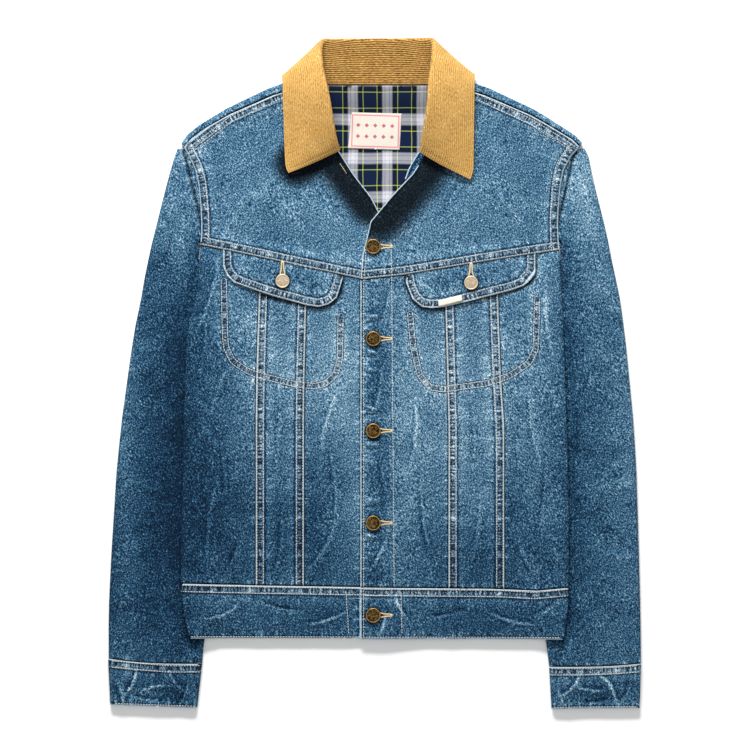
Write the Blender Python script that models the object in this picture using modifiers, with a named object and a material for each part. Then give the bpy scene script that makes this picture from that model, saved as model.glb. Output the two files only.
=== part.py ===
"""Denim jacket with a corduroy collar, laid flat, front side up.

Metres, +Z up. The jacket lies on the plane z = 0 with its collar towards +Y.
Left and right are the wearer's own, so the wearer's left side is at +X.
Each cut piece of cloth is one object: a sheet shaped by its own table of sizes,
given its wall by Solidify. Neighbouring pieces keep the gap SEAM_GAP.
"""
from math import cos, pi, sin

import bmesh
import bpy
import numpy as np

# Walls of cloth
DENIM = 0.0012
DOUBLED_DENIM = 0.0022
FLAP_WALL = 0.0016
CORDUROY = 0.0024
LINING_WALL = 0.0010
LABEL_WALL = 0.0008
SEAM_GAP = 0.0003

# How the layers lie on each other, measured between the middles of two walls
LOFT = 0.0048
PRESSED_LOFT = 0.0022
ARMHOLE_LOFT = 0.0033
LOWEST = DENIM / 2
FRONT_LAP = 0.0015
BAND_LAP = DOUBLED_DENIM + SEAM_GAP
COLLAR_UNDER_YOKE = 0.0036
CLIMB = PRESSED_LOFT + DENIM + 0.0009
CLIMB_RUN = 0.014
CLIMB_AHEAD = 0.004
LAYER_GAP = 0.0010

# Levels along the length of the jacket, from hem to neck
BACK_YOKE_SEAM = 0.174
UNDERARM = 0.144
BACK_WAIST_SEAM = -0.2417
FRONT_TOP = 0.120
FRONT_BOTTOM = -0.238
NECK_SEAM = 0.3230
HEM = -0.2960

# Widths of overlapped and folded edges
SEAM_BAND = 0.010
BAND_RISE = 0.0010
BAND_SLOPE = 0.003
ARMHOLE_TURN_IN = 0.010
SIDE_TURN_UNDER = 0.025
SLEEVE_TURN_UNDER = 0.016
INNER_SEAM_INSET = 0.009

# Buttons
BUTTON_RADIUS = 0.0085
FLAP_BUTTON_RADIUS = 0.0080
BUTTON_HEIGHT = 0.0034
BUTTON_STEPS = 16
FRONT_BUTTON_X = -0.0014
FRONT_BUTTON_TOP_Y = 0.142
FRONT_BUTTON_STEP = 0.1030
FLAP_BUTTONS = {"right": (-0.1028, 0.1035), "left": (0.1079, 0.1015)}

SIDES = {"right": -1, "left": 1}

# Body outline: level y, x of the wearer's right edge, x of the left edge
BODY_EDGE = (
    (-0.2960, -0.2070, 0.2110),
    (-0.2780, -0.2111, 0.2150),
    (-0.2345, -0.2167, 0.2172),
    (-0.1640, -0.2158, 0.2178),
    (-0.0520, -0.2135, 0.2150),
    (0.0320, -0.2106, 0.2119),
    (0.0520, -0.2089, 0.2111),
    (0.0770, -0.2015, 0.2096),
    (0.0990, -0.1971, 0.2089),
    (0.1440, -0.1948, 0.2066),
    (0.1590, -0.1933, 0.2048),
    (0.1844, -0.1945, 0.2053),
    (0.2124, -0.1971, 0.2073),
    (0.2303, -0.2017, 0.2111),
    (0.2433, -0.2081, 0.2187),
    (0.2530, -0.2137, 0.2280),
)

# Sleeve outline: level y, outer and inner x of the right sleeve, then of the left
SLEEVE_EDGE = (
    (-0.3310, -0.2974, -0.1935, 0.2980, 0.1960),
    (-0.3030, -0.2974, -0.1911, 0.2979, 0.1925),
    (-0.2670, -0.2974, -0.1850, 0.2974, 0.1870),
    (-0.2130, -0.2951, -0.1720, 0.2962, 0.1760),
    (-0.1060, -0.2884, -0.1500, 0.2929, 0.1580),
    (-0.0520, -0.2828, -0.1420, 0.2895, 0.1510),
    (0.0290, -0.2716, -0.1390, 0.2817, 0.1480),
    (0.0560, -0.2671, -0.1440, 0.2783, 0.1530),
    (0.0820, -0.2615, -0.1560, 0.2750, 0.1640),
    (0.1060, -0.2575, -0.1740, 0.2700, 0.1830),
    (0.1280, -0.2530, -0.1966, 0.2652, 0.2084),
    (0.1440, -0.2495, -0.1957, 0.2622, 0.2075),
    (0.1630, -0.2447, -0.1940, 0.2582, 0.2056),
    (0.1900, -0.2380, -0.1950, 0.2514, 0.2060),
    (0.2168, -0.2313, -0.1985, 0.2447, 0.2086),
    (0.2430, -0.2236, -0.2085, 0.2395, 0.2192),
    (0.2515, -0.2205, -0.2130, 0.2352, 0.2270),
)

# Cuffs: inner and outer x of the top edge, its y and its rise at the outer end,
# then inner and outer corner of the hem
CUFFS = {
    "right": (-0.1935, -0.2976, -0.3245, 0.0055, (-0.1990, -0.3740), (-0.2950, -0.3705)),
    "left": (0.1960, 0.2976, -0.3280, 0.0035, (0.1986, -0.3752), (0.2960, -0.3740)),
}

# Shoulder ridge: x, y, from the tip of the shoulder to the neck
RIDGE = {
    "right": ((-0.2158, 0.2572), (-0.2060, 0.2715), (-0.1641, 0.2970), (-0.1126, 0.3215), (-0.0845, 0.3285)),
    "left": ((0.2322, 0.2575), (0.2246, 0.2660), (0.1820, 0.2935), (0.1215, 0.3220), (0.0935, 0.3285)),
}
RIDGE_OUTWARD = {"right": (-0.53, 0.85), "left": (0.51, 0.86)}
SHOULDER_DROP_TIP = 0.0042
SHOULDER_DROP_NECK = 0.0097

# Front neckline under the collar: from the collar's end up towards the shoulder seam
NECKLINE = {
    "right": ((-0.0566, 0.2555), (-0.0683, 0.2717), (-0.0760, 0.2930)),
    "left": ((0.0711, 0.2549), (0.0812, 0.2717), (0.0868, 0.2930)),
}

# Front edge of the yokes: from the yoke seam up to the collar's end
FRONT_EDGE = {
    "right": (
        (0.0196, 0.0992), (0.0196, 0.1480), (0.0100, 0.1740), (-0.0087, 0.2060),
        (-0.0242, 0.2240), (-0.0379, 0.2386), (-0.0404, 0.2497),
    ),
    "left": (
        (-0.0155, 0.1056), (-0.0143, 0.1149), (-0.0122, 0.1530), (-0.0010, 0.1776), (0.0246, 0.2043),
        (0.0375, 0.2205), (0.0547, 0.2308), (0.0598, 0.2343), (0.0580, 0.2471),
    ),
}
FRONT_X = {"right": 0.0196, "left": -0.0157}

# Front yoke seam: from the armhole to the front edge
YOKE_SEAM = {
    "right": ((-0.1948, 0.1442), (-0.1607, 0.1373), (-0.1036, 0.1250), (-0.0465, 0.1127), (0.0196, 0.0992)),
    "left": ((0.2066, 0.1384), (0.1775, 0.1342), (0.1062, 0.1228), (0.0347, 0.1107), (-0.0155, 0.1056)),
}

# Waist seam: from the side to the front edge
WAIST_SEAM = {
    "right": ((-0.2167, -0.2345), (-0.1305, -0.2368), (0.0196, -0.2392)),
    "left": ((0.2180, -0.2390), (0.1775, -0.2428), (0.1383, -0.2406), (-0.0160, -0.2392)),
}

# Seams down the fronts: level y, outer and inner x on the right, inner and outer x on the left
FRONT_SEAMS = (
    (-0.2400, -0.1327, -0.0790, 0.0828, 0.1450),
    (-0.0520, -0.1327, -0.0789, 0.0828, 0.1449),
    (-0.0105, -0.1322, -0.0785, 0.0815, 0.1411),
    (0.0768, -0.1294, -0.0765, 0.0792, 0.1383),
    (0.1300, -0.1280, -0.0750, 0.0775, 0.1365),
)

# Pocket flaps: width from outer to inner edge, then the lower edge: x, y
FLAPS = {
    "right": (
        (-0.1692, -0.0357),
        ((-0.1692, 0.1194), (-0.1640, 0.1080), (-0.1578, 0.1020), (-0.1182, 0.0880), (-0.0750, 0.0763),
         (-0.0610, 0.0742), (-0.0465, 0.0791), (-0.0379, 0.0906), (-0.0357, 0.1060)),
    ),
    "left": (
        (0.1798, 0.0353),
        ((0.1798, 0.1107), (0.1719, 0.1006), (0.1576, 0.0942), (0.1347, 0.0885), (0.0976, 0.0791),
         (0.0704, 0.0728), (0.0532, 0.0742), (0.0420, 0.0836), (0.0353, 0.1010)),
    ),
}

# Collar, one row for each section from the wearer's right end to the left end.
# seam is where the stand meets the neckline, roll is the fold, edge is the outer edge.
COLLAR = (
    # seam x, y, z            roll x, y, z              edge x, y, z
    (-0.0425, 0.2520, 0.0092, -0.0393, 0.2500, 0.0125, -0.0960, 0.2243, 0.0098),
    (-0.0560, 0.2585, 0.0095, -0.0425, 0.2600, 0.0185, -0.0990, 0.2330, 0.0098),
    (-0.0665, 0.2710, 0.0100, -0.0460, 0.2780, 0.0245, -0.1003, 0.2560, 0.0104),
    (-0.0735, 0.2930, 0.0118, -0.0495, 0.3000, 0.0285, -0.1010, 0.2830, 0.0120),
    (-0.0765, 0.3090, 0.0135, -0.0540, 0.3220, 0.0290, -0.1018, 0.3060, 0.0135),
    (-0.0765, 0.3190, 0.0132, -0.0585, 0.3430, 0.0250, -0.1020, 0.3240, 0.0120),
    (-0.0755, 0.3240, 0.0095, -0.0600, 0.3615, 0.0165, -0.1032, 0.3325, 0.0060),
    (-0.0735, 0.3242, 0.0062, -0.0570, 0.3722, 0.0095, -0.1010, 0.3280, 0.0013),
    (-0.0640, 0.3243, 0.0052, -0.0440, 0.3730, 0.0062, -0.0860, 0.3190, 0.0012),
    (-0.0350, 0.3240, 0.0050, -0.0250, 0.3735, 0.0058, -0.0500, 0.3120, 0.0012),
    (0.0040, 0.3238, 0.0050, 0.0040, 0.3738, 0.0058, 0.0040, 0.3100, 0.0012),
    (0.0440, 0.3240, 0.0050, 0.0330, 0.3739, 0.0058, 0.0590, 0.3120, 0.0012),
    (0.0740, 0.3243, 0.0052, 0.0520, 0.3739, 0.0062, 0.0950, 0.3190, 0.0012),
    (0.0830, 0.3242, 0.0062, 0.0640, 0.3732, 0.0095, 0.1095, 0.3290, 0.0013),
    (0.0850, 0.3240, 0.0095, 0.0655, 0.3615, 0.0165, 0.1118, 0.3340, 0.0060),
    (0.0862, 0.3190, 0.0132, 0.0635, 0.3430, 0.0250, 0.1112, 0.3250, 0.0120),
    (0.0860, 0.3090, 0.0135, 0.0606, 0.3220, 0.0290, 0.1110, 0.3060, 0.0135),
    (0.0840, 0.2930, 0.0118, 0.0592, 0.3000, 0.0285, 0.1108, 0.2800, 0.0120),
    (0.0790, 0.2710, 0.0100, 0.0562, 0.2780, 0.0245, 0.1105, 0.2500, 0.0104),
    (0.0705, 0.2570, 0.0095, 0.0532, 0.2600, 0.0185, 0.1100, 0.2280, 0.0098),
    (0.0590, 0.2490, 0.0092, 0.0518, 0.2480, 0.0125, 0.1070, 0.2170, 0.0098),
)
COLLAR_FOLD_RADIUS = 0.0022

# Largest soft folds of the cloth: centre x, y, direction in degrees,
# half length, half width, height
FOLDS = (
    (-0.165, 0.115, 62, 0.050, 0.009, -0.0012),
    (-0.180, 0.060, 75, 0.060, 0.010, 0.0010),
    (0.180, 0.105, -58, 0.050, 0.009, -0.0012),
    (0.190, 0.040, -78, 0.060, 0.010, 0.0010),
    (-0.165, -0.080, 84, 0.090, 0.012, 0.0010),
    (0.180, -0.100, -86, 0.090, 0.012, 0.0010),
    (-0.060, -0.170, 70, 0.060, 0.010, -0.0008),
    (0.045, -0.120, 80, 0.070, 0.010, 0.0008),
    (-0.110, 0.200, 20, 0.060, 0.012, 0.0008),
    (0.120, 0.200, -22, 0.060, 0.012, 0.0008),
    (-0.255, 0.020, 30, 0.035, 0.009, 0.0014),
    (-0.262, -0.040, 12, 0.035, 0.009, -0.0012),
    (-0.258, -0.110, -18, 0.035, 0.010, 0.0014),
    (-0.262, -0.190, 24, 0.035, 0.010, -0.0010),
    (-0.250, -0.265, -12, 0.040, 0.009, 0.0014),
    (0.258, 0.030, -34, 0.035, 0.009, 0.0014),
    (0.262, -0.030, -10, 0.035, 0.009, -0.0012),
    (0.262, -0.100, 20, 0.035, 0.010, 0.0014),
    (0.265, -0.180, -22, 0.035, 0.010, -0.0010),
    (0.252, -0.262, 14, 0.040, 0.009, 0.0014),
)


def ease(amount):
    """Smooth step from 0 to 1."""
    amount = min(max(amount, 0.0), 1.0)
    return amount * amount * (3 - 2 * amount)


def mix(start, end, amount):
    return start + (end - start) * amount


def look_up(rows, level, column):
    """Value of a column at a level, for rows sorted by their first column."""
    return float(np.interp(level, [row[0] for row in rows], [row[column] for row in rows]))


def seam_level(seam, x):
    """y of a seam that is given as x, y points in either order of x."""
    rows = sorted(seam)
    return look_up(rows, x, 1)


def along(points, amount):
    """Point at a share of the length of a line through points."""
    points = np.array(points, dtype=float)
    steps = np.linalg.norm(np.diff(points, axis=0), axis=1)
    reached = np.concatenate(([0.0], np.cumsum(steps))) / steps.sum()
    return np.array([np.interp(amount, reached, points[:, axis]) for axis in range(points.shape[1])])


def body_edge(side, y):
    return look_up(BODY_EDGE, y, 1 if side == "right" else 2)


def sleeve_edge(side, y, inner):
    column = (2 if inner else 1) + (0 if side == "right" else 2)
    return look_up(SLEEVE_EDGE, y, column)


def fold_relief(x, y):
    """Height of the soft folds of the upper layer."""
    height = 0.0
    for centre_x, centre_y, degrees, half_length, half_width, rise in FOLDS:
        angle = np.radians(degrees)
        down = (x - centre_x) * cos(angle) + (y - centre_y) * sin(angle)
        across = (y - centre_y) * cos(angle) - (x - centre_x) * sin(angle)
        height += rise * np.exp(-(down / half_length) ** 2 - (across / half_width) ** 2)
    return height


def lower_level(x, y):
    """Middle of the lower wall of the body: it climbs over the sleeves and the back of the collar."""
    side = "right" if x < 0 else "left"
    sign = SIDES[side]
    inner = abs(sleeve_edge(side, y, inner=True))
    climb = CLIMB * ease((sign * x - inner + CLIMB_RUN + CLIMB_AHEAD) / CLIMB_RUN)
    climb *= ease((0.142 - y) / 0.012)
    half_collar = 0.104 if side == "right" else 0.113
    over_collar = ease((y - 0.292) / 0.014) * ease((half_collar + 0.016 - sign * x) / 0.016)
    return LOWEST + climb + COLLAR_UNDER_YOKE * over_collar


def climb_columns(side, y, start):
    """x of the columns from start inwards that follow the climb over a sleeve."""
    sign = SIDES[side]
    top = min(abs(sleeve_edge(side, y, inner=True)) - CLIMB_AHEAD, abs(start) - 0.004)
    over = [mix(abs(start), top, share) for share in (0.0, 0.35, 0.7, 1.0)]
    ramp = [top - CLIMB_RUN * share for share in (0.25, 0.5, 0.75, 1.0)]
    return [sign * x for x in over + ramp]


def upper_level(x, y):
    """Middle of the upper wall of the body."""
    return lower_level(x, y) + LOFT + fold_relief(x, y)


def front_level(side, x, y):
    """Middle of a front's wall. The left front lies over the right one."""
    lap = FRONT_LAP * (1 - ease((x - 0.024) / 0.020)) if side == "left" else 0.0
    return upper_level(x, y) + lap


def sleeve_level(side, x, y):
    """Middle of the upper wall of a sleeve, pressed flat where the body lies on it."""
    sign = SIDES[side]
    pressed = mix(PRESSED_LOFT, ARMHOLE_LOFT, ease((y - 0.128) / 0.028))
    past_hem = ease((-0.299 - y) / 0.015)
    pressed = mix(pressed, LOFT - 0.0006, past_hem)
    inner = abs(sleeve_edge(side, y, inner=True))
    cover = mix(max(abs(body_edge(side, max(y, HEM))), inner), inner, past_hem)
    open_air = ease((sign * x - cover) / 0.030)
    return LOWEST + pressed + (LOFT - pressed + fold_relief(x, y)) * open_air


def round_edge(edge_x, low, high, sign, turn):
    """Point of a folded edge: turn 0 is its upper side, 0.5 the edge and 1 its underside."""
    radius = (high - low) / 2
    x = edge_x - sign * (DENIM / 2 + radius * (1 - sin(pi * turn)))
    return x, low + radius * (1 + cos(pi * turn))


def material(name, colour, roughness, metallic=0.0):
    made = bpy.data.materials.new(name)
    made.use_nodes = True
    shader = made.node_tree.nodes["Principled BSDF"]
    shader.inputs["Base Color"].default_value = (*colour, 1.0)
    shader.inputs["Roughness"].default_value = roughness
    shader.inputs["Metallic"].default_value = metallic
    made.diffuse_color = (*colour, 1.0)
    return made


def cloth(name, across, down, place, wall, finish, keep=None, closed=False):
    """Sheet of cloth over a grid with stops across and down, given its wall.

    place turns one stop across and one down into a point. keep tells which cells
    the piece has, and closed joins the last column to the first.
    """
    columns, rows = len(across) - 1, len(down) - 1
    sheet = bmesh.new()
    bmesh.ops.create_grid(sheet, x_segments=columns, y_segments=rows, size=1.0)
    cells = {}
    for vertex in sheet.verts:
        cells[vertex] = (round((vertex.co.x + 1) / 2 * columns), round((vertex.co.y + 1) / 2 * rows))
    if keep is not None:
        dropped = []
        for face in sheet.faces:
            column = min(cells[vertex][0] for vertex in face.verts)
            row = min(cells[vertex][1] for vertex in face.verts)
            if not keep(column, row):
                dropped.append(face)
        bmesh.ops.delete(sheet, geom=dropped, context="FACES")
    for vertex in sheet.verts:
        column, row = cells[vertex]
        vertex.co = place(across[column], down[row])
    if closed:
        bmesh.ops.remove_doubles(sheet, verts=sheet.verts, dist=0.00001)
    bmesh.ops.recalc_face_normals(sheet, faces=sheet.faces)
    mesh = bpy.data.meshes.new(name)
    sheet.to_mesh(mesh)
    sheet.free()
    mesh.materials.append(finish)
    made = bpy.data.objects.new(name, mesh)
    jacket.objects.link(made)
    solidify = made.modifiers.new("wall", "SOLIDIFY")
    solidify.thickness = wall
    solidify.offset = 0.0
    solidify.use_even_offset = True
    return made


def banded_stops(length, cells, first=True, last=True):
    """Stops from 0 to 1 with a narrow band and its slope at either end."""
    band = SEAM_BAND / length
    slope = (SEAM_BAND + BAND_SLOPE) / length
    start = [0.0, band, slope] if first else [0.0]
    end = [1 - slope, 1 - band, 1.0] if last else [1.0]
    inner = np.linspace(start[-1], end[0], cells + 1)[1:-1]
    return [*start, *inner, *end]


SHOULDER_LENGTH = 0.170
SHOULDER_STOPS = banded_stops(SHOULDER_LENGTH, 8, last=False)


def band_rise(distance):
    """Height of a doubled seam band at a distance from the seam."""
    return BAND_RISE * (1 - ease((distance - SEAM_BAND) / BAND_SLOPE))


def shoulder_point(side, amount, drop_share):
    """Point between the ridge (0) and the front shoulder seam (1), from tip (0) to neck (1)."""
    ridge = along(RIDGE[side], amount)
    outward = np.array(RIDGE_OUTWARD[side])
    drop = mix(SHOULDER_DROP_TIP, SHOULDER_DROP_NECK, amount)
    return ridge - outward * drop * drop_share


def front_yoke(side, finish):
    """Upper front, from the shoulder seam down to the yoke seam, between armhole and neckline."""
    sign = SIDES[side]
    seam_shift = np.array(RIDGE_OUTWARD[side]) * 3 * SEAM_GAP
    collar_end = 0.62
    height = 0.130

    def top(u):
        return shoulder_point(side, u, 1.0) - seam_shift

    def bottom(u):
        return along(YOKE_SEAM[side], u)

    def armhole(v):
        y = mix(bottom(0.0)[1], top(0.0)[1], v)
        return np.array([body_edge(side, y), y])

    def front(v):
        if v <= collar_end:
            return along(FRONT_EDGE[side], v / collar_end)
        neckline = [FRONT_EDGE[side][-1], *NECKLINE[side], top(1.0)]
        return along(neckline, (v - collar_end) / (1 - collar_end))

    def place(u, v):
        flat = (1 - v) * bottom(u) + v * top(u) + (1 - u) * armhole(v) + u * front(v)
        corners = (1 - u) * (1 - v) * armhole(0) + u * (1 - v) * front(0)
        corners += (1 - u) * v * armhole(1) + u * v * front(1)
        x, y = flat - corners
        clear = ease((sign * x + 0.026) / 0.006) if side == "left" else ease((-0.020 - x) / 0.006)
        rise = max(band_rise(v * height), band_rise(u * SHOULDER_LENGTH), band_rise((1 - v) * height))
        return x, y, front_level(side, x, y) + rise * clear

    band = SEAM_BAND / height
    slope = (SEAM_BAND + BAND_SLOPE) / height
    down = [0.0, band, slope, 0.24, 0.38, 0.50, collar_end, 0.70, 0.78, 1 - slope, 1 - band, 1.0]
    cloth(f"front_yoke_{side}", SHOULDER_STOPS, down, place, DENIM, finish)


FRONT_ROWS = (
    0.0, 0.014, 0.028, 0.045, 0.07, 0.10, 0.13, 0.17, 0.21, 0.26, 0.32, 0.40, 0.50, 0.60, 0.70, 0.80, 0.90, 1.0,
)


def front_panel(name, side, outer, inner, finish, raised):
    """Lower front between two seams: its rows run from the yoke seam to the waist seam."""
    def place(u, v):
        level = mix(FRONT_TOP, FRONT_BOTTOM, v)
        x = mix(outer(level), inner(level), u)
        top = seam_level(YOKE_SEAM[side], x) - SEAM_GAP
        bottom = seam_level(WAIST_SEAM[side], x) + SEAM_GAP
        y = mix(top, bottom, v)
        rise = 0.0
        if raised:
            width = abs(inner(level) - outer(level))
            rise = max(band_rise(u * width), band_rise((1 - u) * width))
            rise *= ease((top - y - 0.004) / 0.012)
        return x, y, front_level(side, x, y) + rise

    width = abs(inner(0.0) - outer(0.0))
    across = banded_stops(width, 2) if raised else list(np.linspace(0, 1, 6))
    cloth(name, across, FRONT_ROWS, place, DENIM, finish)


def side_turn_under(y):
    """How far inboard of the body's edge the side seam lies on the underside."""
    return 0.004 + (SIDE_TURN_UNDER - 0.004) * ease((UNDERARM - y) / 0.070)


def front_side_panel(side, seam_x, finish):
    """Outer lower front. It turns under at the body's edge and ends at the side seam."""
    sign = SIDES[side]

    def place(u, v):
        bottom = seam_level(WAIST_SEAM[side], body_edge(side, 0.0)) + SEAM_GAP
        top = YOKE_SEAM[side][0][1] - SEAM_GAP
        y = mix(top, bottom, v)
        edge = body_edge(side, y)
        low = lower_level(edge, y)
        high = front_level(side, edge, y)
        radius = (high - low) / 2
        if u <= 1:
            x = mix(seam_x(mix(FRONT_TOP, FRONT_BOTTOM, v)), round_edge(edge, low, high, sign, 0)[0], u)
            top = seam_level(YOKE_SEAM[side], x) - SEAM_GAP
            bottom = seam_level(WAIST_SEAM[side], x) + SEAM_GAP
            y = mix(top, bottom, v)
            height = front_level(side, x, y)
            return x, y, mix(height, high, ease((u - 0.8) / 0.2))
        if u <= 2:
            x, z = round_edge(edge, low, high, sign, u - 1)
            return x, y, z
        x = mix(round_edge(edge, low, high, sign, 1)[0], edge - sign * side_turn_under(y), u - 2)
        return x, y, lower_level(x, y)

    across = [*np.linspace(0, 0.8, 6), 0.9, 1.0, 1.2, 1.4, 1.6, 1.8, 2.0, 3.0]
    cloth(f"front_side_{side}", across, FRONT_ROWS, place, DENIM, finish)


def pocket_flap(side, finish):
    """Flap of a chest pocket, set into the yoke seam and lying on the panels."""
    (outer_x, inner_x), lower_edge = FLAPS[side]

    def place(u, v):
        x = mix(outer_x, inner_x, u)
        top = seam_level(YOKE_SEAM[side], x) - SEAM_GAP
        bottom = seam_level(lower_edge, x)
        y = mix(top, bottom, v)
        on_panel = DENIM / 2 + LAYER_GAP + FLAP_WALL / 2
        return x, y, front_level(side, x, y) + on_panel + BAND_RISE * ease((top - y) / 0.012)

    across = [0.0, 0.035, 0.09, *np.linspace(0.18, 0.70, 5), 0.80, 0.88, 0.95, 1.0]
    down = [0.0, 0.2, 0.4, 0.7, 1.0]
    cloth(f"pocket_flap_{side}", across, down, place, FLAP_WALL, finish)


def back_panel(finish):
    """Back below the yoke, from side seam to side seam."""
    def side_seam(side, y):
        sign = SIDES[side]
        below = side_turn_under(y) if y < UNDERARM + 0.003 else 0.0
        return body_edge(side, y) - sign * (below + 3 * SEAM_GAP)

    def place(column, y):
        right = climb_columns("right", y, side_seam("right", y))
        left = climb_columns("left", y, side_seam("left", y))
        middle = [mix(right[-1], left[-1], share) for share in (0.25, 0.5, 0.75)]
        x = [*right, *middle, *reversed(left)][column]
        return x, y, lower_level(x, y)

    down = [BACK_WAIST_SEAM, -0.190, -0.140, -0.090, -0.040, 0.0, 0.030, 0.050, 0.065, 0.078, 0.088]
    down += [0.098, 0.108, 0.118, 0.126, 0.130, 0.134, 0.138, 0.142, 0.1455, 0.155, BACK_YOKE_SEAM - SEAM_GAP]
    cloth("back_panel", list(range(19)), down, place, DENIM, finish)


def back_yoke(finish):
    """Upper back. It turns over the shoulder ridges to the front shoulder seams."""
    neck_start, neck_end = 0.36, 0.64

    def place(u, v):
        if neck_start < u < neck_end:
            share = (u - neck_start) / (neck_end - neck_start)
            top = np.array([mix(RIDGE["right"][-1][0], RIDGE["left"][-1][0], share), NECK_SEAM - 0.001])
            start = np.array([mix(-0.075, 0.082, share), BACK_YOKE_SEAM + SEAM_GAP])
            x, y = mix(start, top, v)
            return x, y, lower_level(x, y)
        side = "right" if u <= neck_start else "left"
        share = u / neck_start if side == "right" else (1 - u) / (1 - neck_end)
        outward = np.array(RIDGE_OUTWARD[side])
        ridge = along(RIDGE[side], share)
        low = lower_level(*ridge)
        high = upper_level(*ridge)
        radius = (high - low) / 2
        top = ridge - outward * radius
        if v <= 1:
            start_x = mix(body_edge(side, BACK_YOKE_SEAM), -0.075 if side == "right" else 0.082, share)
            x, y = mix(np.array([start_x, BACK_YOKE_SEAM + SEAM_GAP]), top, v)
            straight = mix(body_edge(side, BACK_YOKE_SEAM), ridge[0] - outward[0] * radius, v)
            bow = body_edge(side, min(y, 0.253)) - straight
            x += bow * (1 - share) ** 3 * ease((1 - v) / 0.1)
            return x, y, lower_level(x, y)
        if v <= 2:
            turn = v - 1
            x, y = top + outward * radius * sin(pi * turn)
            return x, y, low + radius * (1 - cos(pi * turn))
        seam = shoulder_point(side, share, 1.0)
        x, y = mix(top, seam, v - 2)
        return x, y, mix(high, upper_level(x, y), v - 2)

    flat_rows = [0.0, 0.3, 0.6, 0.76, 0.80, 0.84, 0.88, 0.92, 1.0]
    down = [*flat_rows, 1.2, 1.4, 1.6, 1.8, 2.0, 3.0]
    shoulder = [neck_start * stop for stop in SHOULDER_STOPS]
    across = [*shoulder, 0.374, 0.44, 0.5, 0.56, 0.626, *[1 - stop for stop in reversed(shoulder)]]
    first_neck, last_neck = len(shoulder) - 1, len(across) - len(shoulder)

    def keep(column, row):
        over_neck = first_neck <= column < last_neck
        return row < len(flat_rows) - 1 or not over_neck

    cloth("back_yoke", across, down, place, DENIM, finish, keep=keep)


def waistband(finish):
    """Doubled band round the hem: one strip from the right front end to the left front end."""
    face = (DOUBLED_DENIM - DENIM) / 2
    front_shares = (0.0, 0.11, 0.22, 0.33, 0.43, 0.53, 0.63, 0.73, 0.86, 1.0)
    turns = (0.2, 0.4, 0.6, 0.8, 1.0)

    def half(side, v):
        """Points of one half, from its front end round the side to the middle of the back."""
        sign = SIDES[side]
        hem_y = HEM - (0.0 if side == "right" else 0.001)
        side_top = WAIST_SEAM[side][0][1]
        edge_y = mix(side_top - SEAM_GAP, hem_y, v)
        edge = body_edge(side, edge_y)
        low = lower_level(edge, edge_y) + face
        high = front_level(side, edge, edge_y) + face
        fold_x = round_edge(edge, low, high, sign, 0)[0]
        points = []
        for share in front_shares:
            x = mix(FRONT_X[side], fold_x, share)
            y = mix(seam_level(WAIST_SEAM[side], x) - SEAM_GAP, hem_y, v)
            lap = BAND_LAP * (1 - ease((x - 0.024) / 0.020)) if side == "left" else 0.0
            points.append((x, y, upper_level(x, y) + face + lap))
        for turn in turns:
            x, z = round_edge(edge, low, high, sign, turn)
            y = mix(mix(side_top, BACK_WAIST_SEAM, turn) - SEAM_GAP, hem_y, v)
            points.append((x, y, z))
        y = mix(BACK_WAIST_SEAM - SEAM_GAP, hem_y, v)
        for x in climb_columns(side, y, fold_x - sign * 0.001):
            points.append((x, y, lower_level(x, y) + face))
        return points

    def place(column, v):
        strip = half("right", v) + list(reversed(half("left", v)))
        return strip[column]

    columns = 2 * (len(front_shares) + len(turns) + 8)
    cloth("waistband", list(range(columns)), [0.0, 0.5, 1.0], place, DOUBLED_DENIM, finish)


SLEEVE_ROWS = (
    0.2515, 0.243, 0.225, 0.205, 0.185, 0.168, 0.160, 0.153, 0.147, 0.144, 0.136, 0.128, 0.118, 0.108, 0.098,
    0.086, 0.072, 0.055, 0.035, 0.010, -0.020, -0.050, -0.080, -0.110, -0.140, -0.170, -0.200, -0.230,
    -0.260, -0.285, -0.299, -0.306, -0.314, -0.324,
)


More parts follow.
